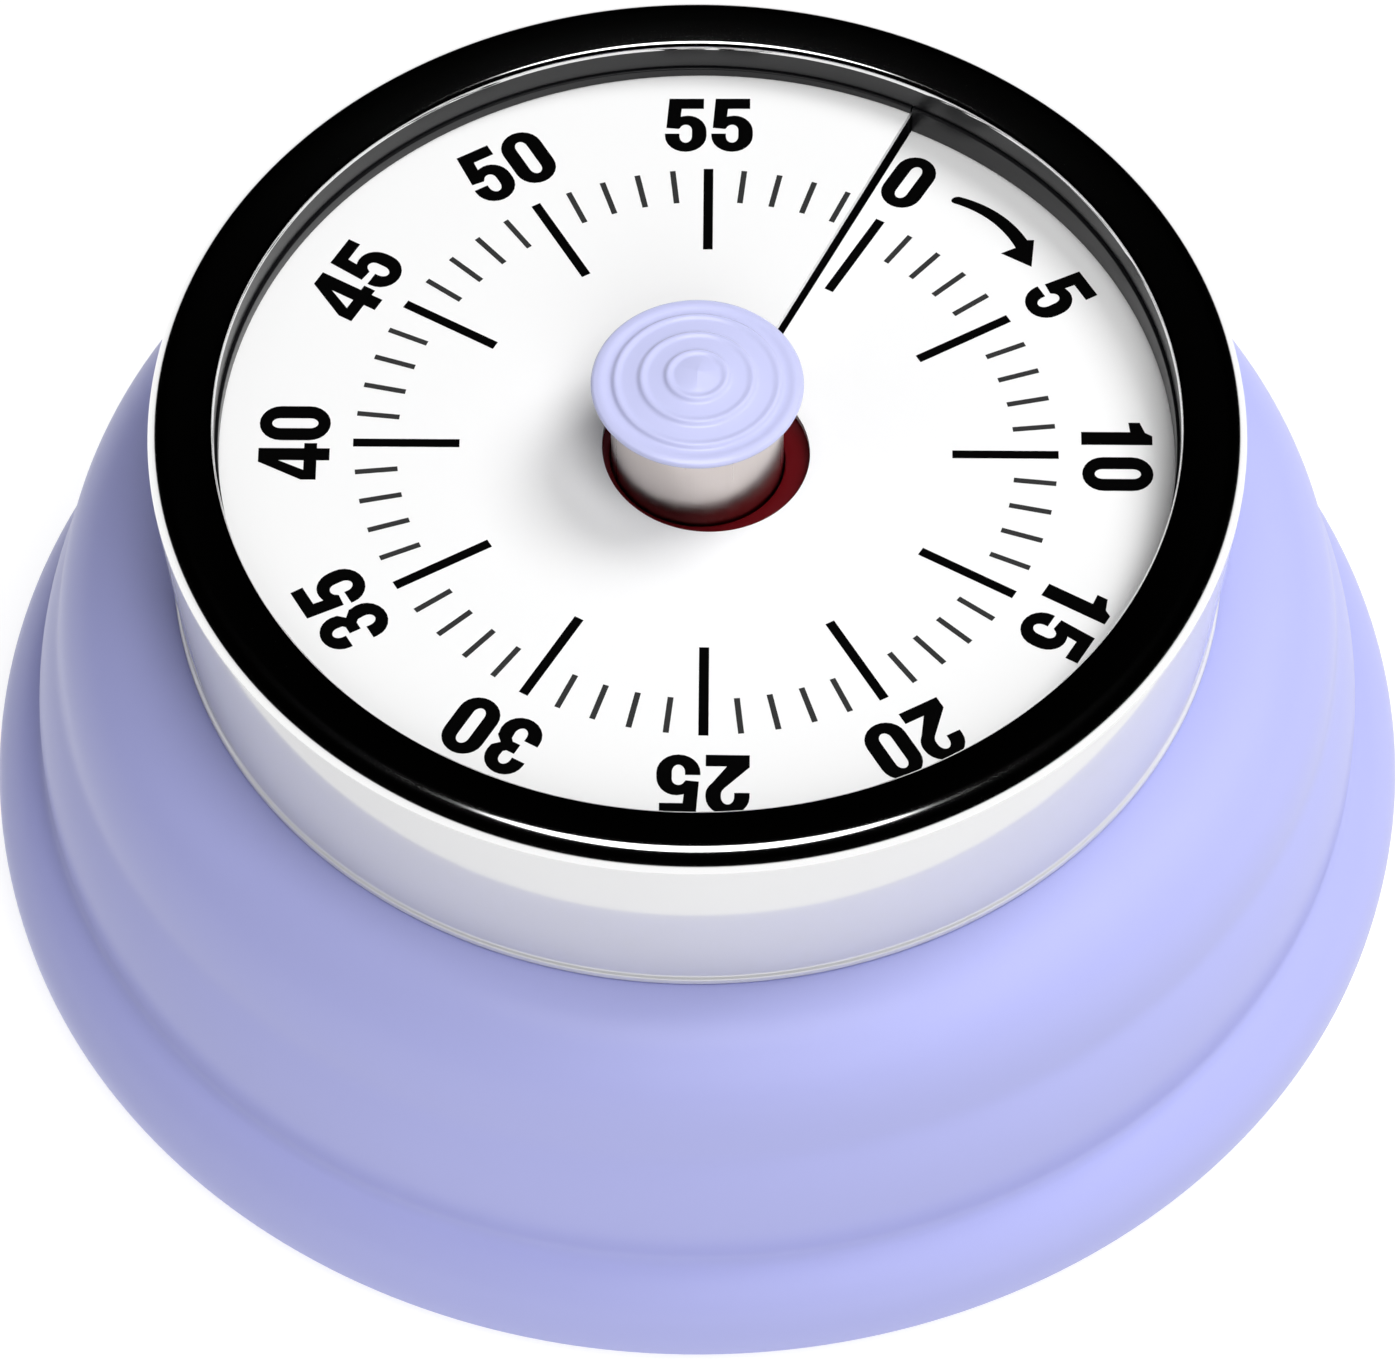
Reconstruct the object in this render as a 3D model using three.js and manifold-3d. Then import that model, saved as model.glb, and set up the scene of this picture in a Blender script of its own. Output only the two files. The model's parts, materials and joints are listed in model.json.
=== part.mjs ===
// A mechanical 60-minute kitchen timer: a rippled round housing with a raised metal bezel,
// a white dial that climbs one turn like a spiral ramp, a red indicator disc that slides out
// through the slit of that ramp, a winding knob, and the clockwork, bell and magnet inside.
// Millimetres, +Z up, origin at the centre of the underside, the dial's 0 mark along +Y.

import * as THREE from 'three';
import { mergeVertices } from 'three/addons/utils/BufferGeometryUtils.js';
import Module from 'manifold-3d';

const wasm = await Module();
wasm.setup();

// ---------------------------------------------------------------- driving dimensions

const SEAT = 0.05;                 // gap between faces that rest on each other
const FIT = 0.05;                  // radial gap between a fixed shaft and its hole
const RUN = 0.08;                  // radial gap between a turning shaft and its bearing
const FREE = 0.3;                  // gap beside anything that sweeps past

const HOUSING = {
  baseRadius: 35, rimHeight: 0.6, rimBottom: 0.4, rimRound: 0.3,
  lowCrease: { inset: 2.5, height: 5.3 }, highCrease: { inset: 3.6, height: 12.25 },
  shoulderRadius: 25.4, shoulderHeight: 18,
  bulges: [1.02, 0.6, 2.15], wallIn: 0.8, wallDown: 0.6, neckWall: 0.9,
};
const BEZEL = {
  height: 11, wall: 0.45, footInset: 0.1, flare: 0.83, rimBead: 0.15, rimBeadHeight: 0.3, roll: 1.1,
  topWidth: 2.32, innerDrop: 0.3, neckGap: 0.2, hemRound: 0.25, hemDepth: 1.3, hemWall: 0.4,
};
const DIAL = {
  depth: 3.58, thickness: 0.35, climb: 1.25, edgeGrip: 0.5, hubGap: 0.85, slit: 0.25, slitAngle: 93,
};
const FRAME = { floor: 0.8, room: 2.62, slit: 0.1, ledgeSink: 0.2 };
const DISC = {
  thickness: 0.25, below: 0.22, sleeveWall: 0.42, sleeveDrop: 0.6, slit: 0.4, sleeveSlit: 0.1,
};
const KNOB = {
  stemRadius: 4.12, overhang: 0.95, rise: 2.95, capHeight: 1.35, footGap: 0.55, arborCover: 2,
  rings: 3, ringInset: 0.22, ringPitch: 1.24, ringStep: 0.16, ringSlope: 0.18,
  lip: { round: 0.2, lift: 0.15, height: 0.35, edge: 0.1, crest: 0.35, groove: 0.7, relief: 0.05 },
};
const PLATE = { radius: 20, thickness: 0.8, gap: 9.4, aboveShoulder: 0.7 };
const PILLAR = {
  radius: 1.5, inset: 2.1, angles: [60, 165, 345],
  rivetRadius: 1.1, rivetHead: 0.35, threadDepth: 4, bite: 3,
};
const ARBOR = {
  mainRadius: 1.5, footStep: 0.5, footReach: 0.2,
  staffRadius: 0.55, pivotRadius: 0.35, pivotInset: 0.1, endShake: 0.1,
};
const WHEEL = { thickness: 0.6, pinionHeight: 1.4, rootDepth: 1.2 };
const TRAIN = {
  great: { teeth: 48, module: 0.45, windows: 5, windowRadius: 2 },
  second: { teeth: 40, module: 0.275, windows: 5, windowRadius: 1.2 },
  third: { teeth: 32, module: 0.25, windows: 4, windowRadius: 0.9 },
  pinionTeeth: 8, startAngle: 200, pinionOverlap: 0.4, aboveRear: 0.9, belowFront: 2.1,
};
const TOOTH = { addendum: 0.8, rootHalf: 0.26, tipHalf: 0.08 };
const ESCAPE = {
  teeth: 15, tipRadius: 3.3, rootRadius: 2.5, rootHalf: 0.18, tipHalf: 0.05, height: 0.5, reach: 13.6,
};
const PALLET = {
  distance: 4.3, outset: 0.6, aboveWheel: 0.9, height: 0.5, span: 2.5, pinRadius: 0.16, pinGap: 0.1,
  forkLength: 2.6, hubWidth: 1.6, forkTip: 0.9, armTip: 0.6, armOverlap: 0.2,
};
const BALANCE = {
  radius: 3.9, rim: 0.8, thickness: 0.7, hubRadius: 1.3, spoke: 1, distance: 5.2, outset: 1,
  rollerRadius: 2, rollerHeight: 0.4, rollerDrop: 1.9,
};
const HAIR = { outer: 2.7, turns: 4, strip: 0.1, height: 0.4, belowWheel: 2.2 };
const CLICK = { reach: 6.2, angle: 36, tipAngle: 72, width: 1.3, tipWidth: 0.4, rivet: 0.45, height: 0.4 };
const RATCHET = { teeth: 12, root: 2.5, tip: 3.2, flank: [-0.45, 0.35, 0.45] };
const SPRING = { strip: 0.25, barrelRadius: 6.3, barrelWall: 0.4, turns: 5, aboveWheel: 1.2, belowCam: 1 };
const CAM = { radius: 6.2, thickness: 0.7, belowPlate: 1.3, notchDepth: 1, notchHalfAngle: 9 };
const HAMMER = {
  reach: 15.8, angle: 105, headAngle: 127, tipAngle: 85, belowPlate: 2, restGap: 0.6, arborEnd: 0.6,
  armWidth: 1.4, armHeight: 0.8, hubWidth: 2.24, leverTip: 0.5,
  headRadius: 1.3, headHeight: 1.7, headDrop: 0.2,
};
const BELL = {
  plateGap: 3.9, wall: 0.7, belowPlate: 3.2, height: 6, corner: 1.6, holeRadius: 1.6, bevel: 0.3,
  postRadius: 2.6, postEnd: 0.6, socketDepth: 0.8, nutRadius: 3, nutHeight: 0.5,
};
const COVER = { bottom: 0.6, thickness: 1.2, lipInset: 1.2, lipHeight: 1.6, lipWall: 0.9 };
const FOOT = { inset: 1.5, width: 1.8 };
const MAGNET = { cupRadius: 9.5, cupWall: 0.8, cupTop: 4, flange: 1.8, face: 0.3, holeRadius: 3.2 };
const RIVET = { radius: 1.4, headRadius: 2.2, headHeight: 0.35, footHeight: 0.7 };
const SCREW = { shank: 0.75, headRadius: 1.5, smallHead: 1.4, headHeight: 0.7, slot: 0.35, length: 5 };
const POST = { radius: 1.7, inset: 2.4, angles: [0, 120, 240], threadDepth: 3 };

const SMOOTH = 40;                 // facets round the large shells
const MEDIUM = 32;                 // facets round the knob and the magnet
const ROUND = 16;                  // facets round the middle-sized pieces
const FINE = 8;                    // facets round the small pins and screws

const PAINT = {
  lavender: [0xbcc0ee, 0.32, 0],
  steel: [0xd8d8d8, 0.12, 1],
  satin: [0xcfc6c4, 0.35, 1],
  brass: [0xc9a24d, 0.3, 1],
  black: [0x0b0b0c, 0.45, 0],
  white: [0xe8e8e8, 0.5, 0],
  red: [0xa01218, 0.5, 0],
  rubber: [0x1b1b1d, 0.85, 0],
  ferrite: [0x3a3a3e, 0.7, 0],
};

// ---------------------------------------------------------------- shape helpers

const timer = new THREE.Group();
const TAU = 2 * Math.PI;
const radians = THREE.MathUtils.degToRad;

// The point at a radius and an angle in degrees, counted from +X towards +Y.
function polar(radius, degrees) {
  return new THREE.Vector2(radius * Math.cos(radians(degrees)), radius * Math.sin(radians(degrees)));
}

function signedVolume(positions, index) {
  const [a, b, c] = [new THREE.Vector3(), new THREE.Vector3(), new THREE.Vector3()];
  let volume = 0;
  for (let i = 0; i < index.length; i += 3) {
    a.fromBufferAttribute(positions, index[i]);
    b.fromBufferAttribute(positions, index[i + 1]);
    c.fromBufferAttribute(positions, index[i + 2]);
    volume += a.dot(b.cross(c)) / 6;
  }
  return volume;
}

// Joins shared corners, drops collapsed triangles and turns every face outwards.
function closed(geometry) {
  const bare = geometry.clone();
  bare.deleteAttribute('normal');
  bare.deleteAttribute('uv');
  const welded = mergeVertices(bare, 1e-5);
  const kept = [];
  const source = welded.getIndex().array;
  for (let i = 0; i < source.length; i += 3) {
    const [a, b, c] = [source[i], source[i + 1], source[i + 2]];
    if (a !== b && b !== c && c !== a) kept.push(a, b, c);
  }
  if (signedVolume(welded.getAttribute('position'), kept) < 0) kept.reverse();
  welded.setIndex(kept);
  return welded;
}

function solid(geometry) {
  const shell = closed(geometry);
  const vertProperties = Float32Array.from(shell.getAttribute('position').array);
  const triVerts = Uint32Array.from(shell.getIndex().array);
  return new wasm.Manifold(new wasm.Mesh({ numProp: 3, vertProperties, triVerts }));
}

function surface(manifold) {
  const mesh = manifold.getMesh();
  const geometry = new THREE.BufferGeometry();
  geometry.setAttribute('position', new THREE.BufferAttribute(Float32Array.from(mesh.vertProperties), 3));
  geometry.setIndex(Array.from(mesh.triVerts));
  return geometry;
}

function join(...geometries) {
  return surface(geometries.map(solid).reduce((whole, piece) => whole.add(piece)));
}

function cut(body, ...tools) {
  return surface(tools.map(solid).reduce((whole, tool) => whole.subtract(tool), solid(body)));
}

// Turns a profile of [radius, height] points about the Z axis.
function turned(profile, facets = ROUND) {
  const points = profile.map(([radius, height]) => new THREE.Vector2(radius, height));
  return closed(new THREE.LatheGeometry(points, facets).rotateX(Math.PI / 2));
}

function rod(radius, bottom, top, facets = FINE) {
  return turned([[0, bottom], [radius, bottom], [radius, top], [0, top]], facets);
}

// The corner radius of a faceted hole whose flats keep clear of a true radius.
function clearOf(radius, facets) {
  return radius / Math.cos(Math.PI / facets);
}

function bore(radius, bottom, top, facets = FINE) {
  return rod(clearOf(radius, facets), bottom, top, facets);
}

function ring(inner, outer, bottom, top, facets = ROUND) {
  const hole = clearOf(inner, facets);
  return turned([[hole, bottom], [outer, bottom], [outer, top], [hole, top], [hole, bottom]], facets);
}

// A turned stack of [radius, top] steps that starts at a given height.
function stepped(bottom, steps, facets = FINE) {
  const profile = [[0, bottom]];
  let height = bottom;
  for (const [radius, top] of steps) {
    profile.push([radius, height], [radius, top]);
    height = top;
  }
  profile.push([0, height]);
  return turned(profile, facets);
}

function slab(shape, bottom, height, facets = FINE) {
  const settings = { depth: height, bevelEnabled: false, curveSegments: facets / 2 };
  return closed(new THREE.ExtrudeGeometry(shape, settings).translate(0, 0, bottom));
}

function circleCorners(radius, facets) {
  return Array.from({ length: facets }, (_, i) => polar(radius, i * 360 / facets));
}

function punch(shape, centre, radius, facets = FINE) {
  const corners = circleCorners(clearOf(radius, facets), facets).map((corner) => corner.add(centre));
  shape.holes.push(new THREE.Path(corners.reverse()));
}

// Points of a shallow outward curve between two profile points, without the last one.
function bulge(from, to, height, steps) {
  const start = new THREE.Vector2(...from);
  const end = new THREE.Vector2(...to);
  const along = end.clone().sub(start).normalize();
  const outward = new THREE.Vector2(Math.abs(along.y), Math.abs(along.x));
  const middle = start.clone().add(end).multiplyScalar(0.5).addScaledVector(outward, 2 * height);
  const curve = new THREE.QuadraticBezierCurve(start, middle, end);
  return curve.getPoints(steps).slice(0, steps).map((point) => [point.x, point.y]);
}

// Fraction of a turn clockwise from the slit, seen from above.
function clockwiseTurn(x, y) {
  const angle = radians(DIAL.slitAngle) - Math.atan2(y, x);
  return (angle / TAU + 1) % 1;
}

// A ring with a radial slit; its top and bottom heights follow the clockwise turn from that slit.
function spiralRing(inner, outer, slit, bottomAt, topAt, facets = SMOOTH) {
  const halfSlit = Math.asin(slit / 2 / outer);
  const start = radians(DIAL.slitAngle) - halfSlit;
  const end = radians(DIAL.slitAngle) + halfSlit - TAU;
  const shape = new THREE.Shape();
  shape.absarc(0, 0, outer, start, end, true);
  shape.absarc(0, 0, clearOf(inner, facets), end, start, false);
  const settings = { depth: 1, bevelEnabled: false, curveSegments: facets / 2 };
  const geometry = new THREE.ExtrudeGeometry(shape, settings);
  const positions = geometry.getAttribute('position');
  for (let i = 0; i < positions.count; i += 1) {
    const turn = clockwiseTurn(positions.getX(i), positions.getY(i));
    positions.setZ(i, positions.getZ(i) > 0.5 ? topAt(turn) : bottomAt(turn));
  }
  return closed(geometry);
}

// A toothed outline; the first tooth's middle lies at toothAngle, in radians.
function toothedShape(teeth, flank, toothAngle) {
  const points = [];
  for (let tooth = 0; tooth < teeth; tooth += 1) {
    for (const [radius, share] of flank) {
      const angle = toothAngle + (tooth + share) * TAU / teeth;
      points.push(new THREE.Vector2(radius * Math.cos(angle), radius * Math.sin(angle)));
    }
  }
  return new THREE.Shape(points);
}

function gearShape(teeth, module, toothAngle) {
  const pitchRadius = teeth * module / 2;
  const root = pitchRadius - WHEEL.rootDepth * module;
  const tip = pitchRadius + TOOTH.addendum * module;
  const { rootHalf, tipHalf } = TOOTH;
  const flank = [[root, -rootHalf], [tip, -tipHalf], [tip, tipHalf], [root, rootHalf]];
  return toothedShape(teeth, flank, toothAngle);
}

// A flat strip wound as a spiral, as an outline.
function spiralShape(innerRadius, outerRadius, turns, strip) {
  const steps = turns * 12;
  const outside = [];
  const inside = [];
  for (let i = 0; i <= steps; i += 1) {
    const angle = i / steps * turns * TAU;
    const radius = THREE.MathUtils.lerp(innerRadius, outerRadius - strip, i / steps);
    outside.push(new THREE.Vector2((radius + strip) * Math.cos(angle), (radius + strip) * Math.sin(angle)));
    inside.unshift(new THREE.Vector2(radius * Math.cos(angle), radius * Math.sin(angle)));
  }
  return new THREE.Shape([...outside, ...inside]);
}

// A straight arm from the origin towards an angle, rounded at its root, narrower at its tip.
function armShape(length, angle, rootWidth, tipWidth) {
  const along = new THREE.Vector2(Math.cos(angle), Math.sin(angle));
  const across = new THREE.Vector2(-along.y, along.x);
  const tip = along.clone().multiplyScalar(length);
  const shape = new THREE.Shape();
  shape.absarc(0, 0, rootWidth / 2, angle + Math.PI / 2, angle + 1.5 * Math.PI, false);
  shape.lineTo(tip.x - across.x * tipWidth / 2, tip.y - across.y * tipWidth / 2);
  shape.lineTo(tip.x + across.x * tipWidth / 2, tip.y + across.y * tipWidth / 2);
  return shape;
}

function add(name, paint, geometry, centre = new THREE.Vector2(0, 0)) {
  const [color, roughness, metalness] = PAINT[paint];
  const material = new THREE.MeshStandardMaterial({ color, roughness, metalness });
  const mesh = new THREE.Mesh(geometry, material);
  mesh.name = name;
  mesh.position.set(centre.x, centre.y, 0);
  timer.add(mesh);
}
// ---------------------------------------------------------------- shared heights and places

const lowCrease = [HOUSING.baseRadius - HOUSING.lowCrease.inset, HOUSING.lowCrease.height];
const highCrease = [HOUSING.baseRadius - HOUSING.highCrease.inset, HOUSING.highCrease.height];
const shoulder = [HOUSING.shoulderRadius, HOUSING.shoulderHeight];

const bezelFoot = HOUSING.shoulderRadius - BEZEL.footInset;
const bezelBottom = HOUSING.shoulderHeight + SEAT;
const bezelTop = bezelBottom + BEZEL.height;
const bezelInner = bezelFoot - BEZEL.topWidth;
const hemBottom = bezelTop - BEZEL.innerDrop - BEZEL.hemRound - BEZEL.hemDepth;

const dialLow = bezelTop - DIAL.depth;
const floorTop = dialLow - FRAME.room;
const floorBottom = floorTop - FRAME.floor;
const neckTop = floorBottom - SEAT;
const neckRadius = HOUSING.shoulderRadius - BEZEL.wall - BEZEL.neckGap;
const discRadius = bezelInner - 2 * FREE;
const dialRadius = bezelInner - FREE + DIAL.edgeGrip;

const coverRadius = HOUSING.baseRadius - HOUSING.wallIn - FREE;
const coverTop = COVER.bottom + COVER.thickness;
const footOuter = coverRadius - FOOT.inset;
const footInner = footOuter - FOOT.width;
const postReach = footInner - POST.inset;

const frontBottom = HOUSING.shoulderHeight + PLATE.aboveShoulder;
const frontTop = frontBottom + PLATE.thickness;
const rearTop = frontBottom - PLATE.gap;
const rearBottom = rearTop - PLATE.thickness;
const pillarReach = PLATE.radius - PILLAR.inset;
const bellRadius = PLATE.radius + BELL.plateGap + BELL.wall;
const bellBottom = rearBottom - BELL.belowPlate;

// The wheels are spaced evenly between the plates, from the great wheel up to the escape wheel.
const greatLevel = rearTop + TRAIN.aboveRear;
const escapeLevel = frontBottom - TRAIN.belowFront;
const levelStep = (escapeLevel - greatLevel) / 3;
const secondLevel = greatLevel + levelStep;
const thirdLevel = secondLevel + levelStep;
const palletLevel = escapeLevel + PALLET.aboveWheel;
const balanceLevel = (rearTop + frontBottom - BALANCE.thickness) / 2;
const camLevel = frontBottom - CAM.belowPlate;
const armLevel = rearBottom - HAMMER.belowPlate;

const dialTop = (turn) => dialLow + DIAL.climb * turn;
const dialBottom = (turn) => dialTop(turn) - DIAL.thickness;
const discTop = (turn) => dialBottom(turn) - DISC.below;
const discBottom = (turn) => discTop(turn) - DISC.thickness;

// Centre distance of a wheel and the pinion it drives.
function meshDistance({ teeth, module }) {
  return (teeth + TRAIN.pinionTeeth) * module / 2;
}

// The centre at a reach from the middle and a distance from the last centre, further round.
function nextCentre(last, distance, reach) {
  const lastReach = last.length();
  const turn = Math.acos((lastReach ** 2 + reach ** 2 - distance ** 2) / (2 * lastReach * reach));
  return last.clone().rotateAround(new THREE.Vector2(), turn).setLength(reach);
}

const secondCentre = polar(meshDistance(TRAIN.great), TRAIN.startAngle);
const thirdCentre = nextCentre(secondCentre, meshDistance(TRAIN.second), secondCentre.length());
const escapeCentre = nextCentre(thirdCentre, meshDistance(TRAIN.third), ESCAPE.reach);
const palletCentre = nextCentre(escapeCentre, PALLET.distance, ESCAPE.reach + PALLET.outset);
const balanceCentre = nextCentre(palletCentre, BALANCE.distance, ESCAPE.reach + BALANCE.outset);
const hammerCentre = polar(HAMMER.reach, HAMMER.angle);

function direction(from, to) {
  return Math.atan2(to.y - from.y, to.x - from.x);
}

// ---------------------------------------------------------------- case

// The inside of the housing's wall as [radius, height] points, from the base up to the shoulder.
function innerWall() {
  const [low, middle, high] = HOUSING.bulges;
  const inward = ([radius, height]) => [radius - HOUSING.wallIn, height - HOUSING.wallDown];
  const innerBase = [HOUSING.baseRadius - HOUSING.wallIn, HOUSING.rimBottom];
  const innerShoulder = [neckRadius - HOUSING.neckWall, HOUSING.shoulderHeight - HOUSING.wallDown];
  return [
    ...bulge(innerBase, inward(lowCrease), low, 3),
    ...bulge(inward(lowCrease), inward(highCrease), middle, 2),
    ...bulge(inward(highCrease), innerShoulder, high, 3),
    innerShoulder,
  ];
}

// The height at which the inside of the wall has narrowed to a radius.
function heightInside(radius) {
  const wall = innerWall();
  const above = wall.findIndex(([reach, height]) => reach < radius && height > highCrease[1]);
  const [[outerReach, lower], [innerReach, upper]] = [wall[above - 1], wall[above]];
  return THREE.MathUtils.mapLinear(radius, outerReach, innerReach, lower, upper);
}

function housing() {
  const [low, middle, high] = HOUSING.bulges;
  const base = [HOUSING.baseRadius, HOUSING.rimHeight];
  const inside = innerWall();
  const innerNeck = neckRadius - HOUSING.neckWall;
  const outside = [
    inside[0],
    [HOUSING.baseRadius - HOUSING.rimRound, HOUSING.rimBottom],
    ...bulge(base, lowCrease, low, 4),
    ...bulge(lowCrease, highCrease, middle, 3),
    ...bulge(highCrease, shoulder, high, 5),
    shoulder,
    [neckRadius, HOUSING.shoulderHeight],
    [neckRadius, neckTop],
  ];
  return turned([...outside, [innerNeck, neckTop], ...inside.reverse()], SMOOTH);
}

function bezel() {
  const { wall, roll, rimBead, rimBeadHeight, innerDrop, hemRound, hemWall } = BEZEL;
  const topRadius = bezelFoot + BEZEL.flare;
  const rollStart = bezelTop - roll;
  const innerTop = bezelTop - innerDrop;
  const inside = bezelInner + hemWall;
  const rolled = [0, 30, 60, 90].map((degrees) => [
    topRadius - roll + roll * Math.cos(radians(degrees)),
    rollStart + roll * Math.sin(radians(degrees)),
  ]);
  return turned([
    [bezelFoot - wall, bezelBottom],
    [bezelFoot + rimBead, bezelBottom],
    [bezelFoot + rimBead, bezelBottom + rimBeadHeight],
    [bezelFoot, bezelBottom + 2 * rimBeadHeight],
    ...rolled,
    [inside, innerTop + hemRound / 5],
    [bezelInner + hemRound * 0.4, innerTop - hemRound / 5],
    [bezelInner, innerTop - hemRound],
    [bezelInner, hemBottom],
    [inside, hemBottom],
    [inside, innerTop - wall],
    [topRadius - wall, rollStart - hemRound * 0.4],
    [bezelFoot - wall, bezelBottom],
  ], SMOOTH);
}

function backCover() {
  const lipOuter = coverRadius - COVER.lipInset;
  const plate = ring(MAGNET.cupRadius + FREE, coverRadius, COVER.bottom, coverTop, SMOOTH);
  const lip = ring(lipOuter - COVER.lipWall, lipOuter, coverTop - FREE, coverTop + COVER.lipHeight, SMOOTH);
  const holes = POST.angles.flatMap((degrees) => {
    const spot = polar(postReach, degrees);
    return [
      bore(SCREW.shank + FREE, 0, coverTop + SEAT).translate(spot.x, spot.y, 0),
      bore(SCREW.headRadius + FREE, 0, COVER.bottom + COVER.thickness / 2).translate(spot.x, spot.y, 0),
    ];
  });
  return cut(join(plate, lip), ...holes);
}

// A slotted cheese-head screw with its head's bearing face at a height; sign 1 points it up.
function screw(bearing, length, headRadius, sign) {
  const head = bearing - sign * SCREW.headHeight;
  const end = bearing + sign * length;
  const body = turned([
    [0, head], [headRadius, head], [headRadius, bearing],
    [SCREW.shank, bearing], [SCREW.shank, end], [0, end],
  ], FINE);
  const slot = new THREE.BoxGeometry(3 * headRadius, SCREW.slot, SCREW.slot * 2).translate(0, 0, head);
  return cut(body, slot);
}

function addCase() {
  add('housing', 'lavender', housing());
  add('bezel', 'steel', bezel());
  add('back_cover', 'black', backCover());
  add('foot_ring', 'rubber', ring(footInner, footOuter, 0, COVER.bottom - SEAT, SMOOTH));
  const postTop = heightInside(postReach + POST.radius + FREE) - FREE;
  const bearing = COVER.bottom + COVER.thickness / 2 - SEAT;
  POST.angles.forEach((degrees, i) => {
    const spot = polar(postReach, degrees);
    const thread = bore(SCREW.shank + FIT, 0, postTop - POST.threadDepth);
    add(`cover_post_${i + 1}`, 'brass', cut(rod(POST.radius, coverTop + SEAT, postTop), thread), spot);
    add(`cover_screw_${i + 1}`, 'steel', screw(bearing, SCREW.length, SCREW.headRadius, 1), spot);
  });
}

function addMagnet() {
  const { cupRadius, cupWall, cupTop, flange, face, holeRadius } = MAGNET;
  const ceiling = cupTop - cupWall;
  const flangeBottom = coverTop + SEAT;
  const rivetHole = clearOf(RIVET.radius + FIT, MEDIUM);
  add('magnet_cup', 'satin', turned([
    [rivetHole, ceiling], [cupRadius - cupWall, ceiling], [cupRadius - cupWall, COVER.bottom],
    [cupRadius, COVER.bottom], [cupRadius, flangeBottom], [cupRadius + flange, flangeBottom],
    [cupRadius + flange, flangeBottom + cupWall], [cupRadius, flangeBottom + cupWall],
    [cupRadius, cupTop], [rivetHole, cupTop], [rivetHole, ceiling],
  ], MEDIUM));
  add('magnet', 'ferrite', ring(holeRadius, cupRadius - cupWall - FREE, face, ceiling - SEAT, MEDIUM));
  add('magnet_rivet', 'steel', stepped(ceiling - SEAT - RIVET.footHeight, [
    [holeRadius - FREE, ceiling - SEAT], [RIVET.radius, cupTop + SEAT],
    [RIVET.headRadius, cupTop + SEAT + RIVET.headHeight],
  ], ROUND));
}

// ---------------------------------------------------------------- dial, disc and knob

function dialFrame() {
  const floor = ring(ARBOR.mainRadius + 2 * FREE, neckRadius, floorBottom, floorTop, SMOOTH);
  const ledgeBottom = floorBottom + FRAME.ledgeSink;
  const ledgeTop = (turn) => dialBottom(turn) - SEAT;
  const ledge = spiralRing(discRadius + FREE, neckRadius, FRAME.slit, () => ledgeBottom, ledgeTop);
  const holes = PILLAR.angles.map((degrees) => {
    const spot = polar(pillarReach, degrees);
    return bore(SCREW.shank + FIT, floorBottom - SEAT, floorTop + SEAT).translate(spot.x, spot.y, 0);
  });
  return cut(join(floor, ledge), ...holes);
}

function indicatorDisc() {
  const inner = KNOB.stemRadius + RUN;
  const sleeveBottom = discBottom(0) - DISC.sleeveDrop;
  const sheet = spiralRing(inner, discRadius, DISC.slit, discBottom, discTop);
  const sleeveOuter = inner + DISC.sleeveWall;
  const sleeve = spiralRing(inner, sleeveOuter, DISC.sleeveSlit, () => sleeveBottom, discTop, ROUND);
  return join(sheet, sleeve);
}

function knobCap(under, top) {
  const { stemRadius, rings, ringInset, ringPitch, ringStep, ringSlope, lip } = KNOB;
  const radius = stemRadius + KNOB.overhang;
  const rimTop = top - (rings + 1) * ringStep;
  const steps = Array.from({ length: rings }, (_, i) => {
    const reach = stemRadius - ringInset - i * ringPitch;
    return [[reach + ringSlope, rimTop + i * ringStep], [reach, rimTop + (i + 1) * ringStep]];
  }).flat();
  return turned([
    [0, under], [stemRadius, under], [radius - lip.round, under + lip.lift], [radius, under + lip.height],
    [radius - lip.edge, rimTop - lip.relief], [radius - lip.crest, rimTop + lip.relief],
    [radius - lip.groove, rimTop], ...steps, [0, top],
  ], MEDIUM);
}

function addDial() {
  const retainerBottom = (turn) => dialTop(turn) + SEAT;
  const retainerTop = hemBottom - SEAT;
  const hubHole = KNOB.stemRadius + DIAL.hubGap;
  add('dial_frame', 'black', dialFrame());
  add('dial', 'white', spiralRing(hubHole, dialRadius, DIAL.slit, dialBottom, dialTop));
  add('dial_retainer', 'black',
    spiralRing(bezelInner - FREE / 2, neckRadius, FRAME.slit, retainerBottom, () => retainerTop));
  add('indicator_disc', 'red', indicatorDisc());
}

function addKnob() {
  const { mainRadius, footStep, footReach, endShake } = ARBOR;
  const capTop = bezelTop + KNOB.rise;
  const stemTop = capTop - KNOB.capHeight - SEAT;
  const stemFoot = floorTop + KNOB.footGap;
  const arborTop = stemTop - KNOB.arborCover;
  const socket = bore(mainRadius + FIT, 0, arborTop + SEAT, ROUND);
  add('knob_cap', 'lavender', knobCap(stemTop + SEAT, capTop));
  add('knob_stem', 'satin', cut(rod(KNOB.stemRadius, stemFoot, stemTop, MEDIUM), socket));
  add('main_arbor', 'satin', stepped(rearBottom - footReach, [
    [mainRadius - footStep, rearTop + endShake], [mainRadius, arborTop],
  ], ROUND));
}

// ---------------------------------------------------------------- clockwork

function plate(bottom, centralRadius) {
  const shape = new THREE.Shape(circleCorners(PLATE.radius, SMOOTH));
  punch(shape, new THREE.Vector2(), centralRadius + RUN, ROUND);
  for (const centre of [secondCentre, thirdCentre, escapeCentre, palletCentre, balanceCentre]) {
    punch(shape, centre, ARBOR.pivotRadius + RUN);
  }
  punch(shape, hammerCentre, ARBOR.staffRadius + RUN);
  for (const degrees of PILLAR.angles) punch(shape, polar(pillarReach, degrees), SCREW.shank + FIT);
  return slab(shape, bottom, PLATE.thickness);
}

// A cutter for the hole of anything pressed on a staff.
function staffHole() {
  return bore(ARBOR.staffRadius + FIT, 0, frontTop);
}

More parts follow.
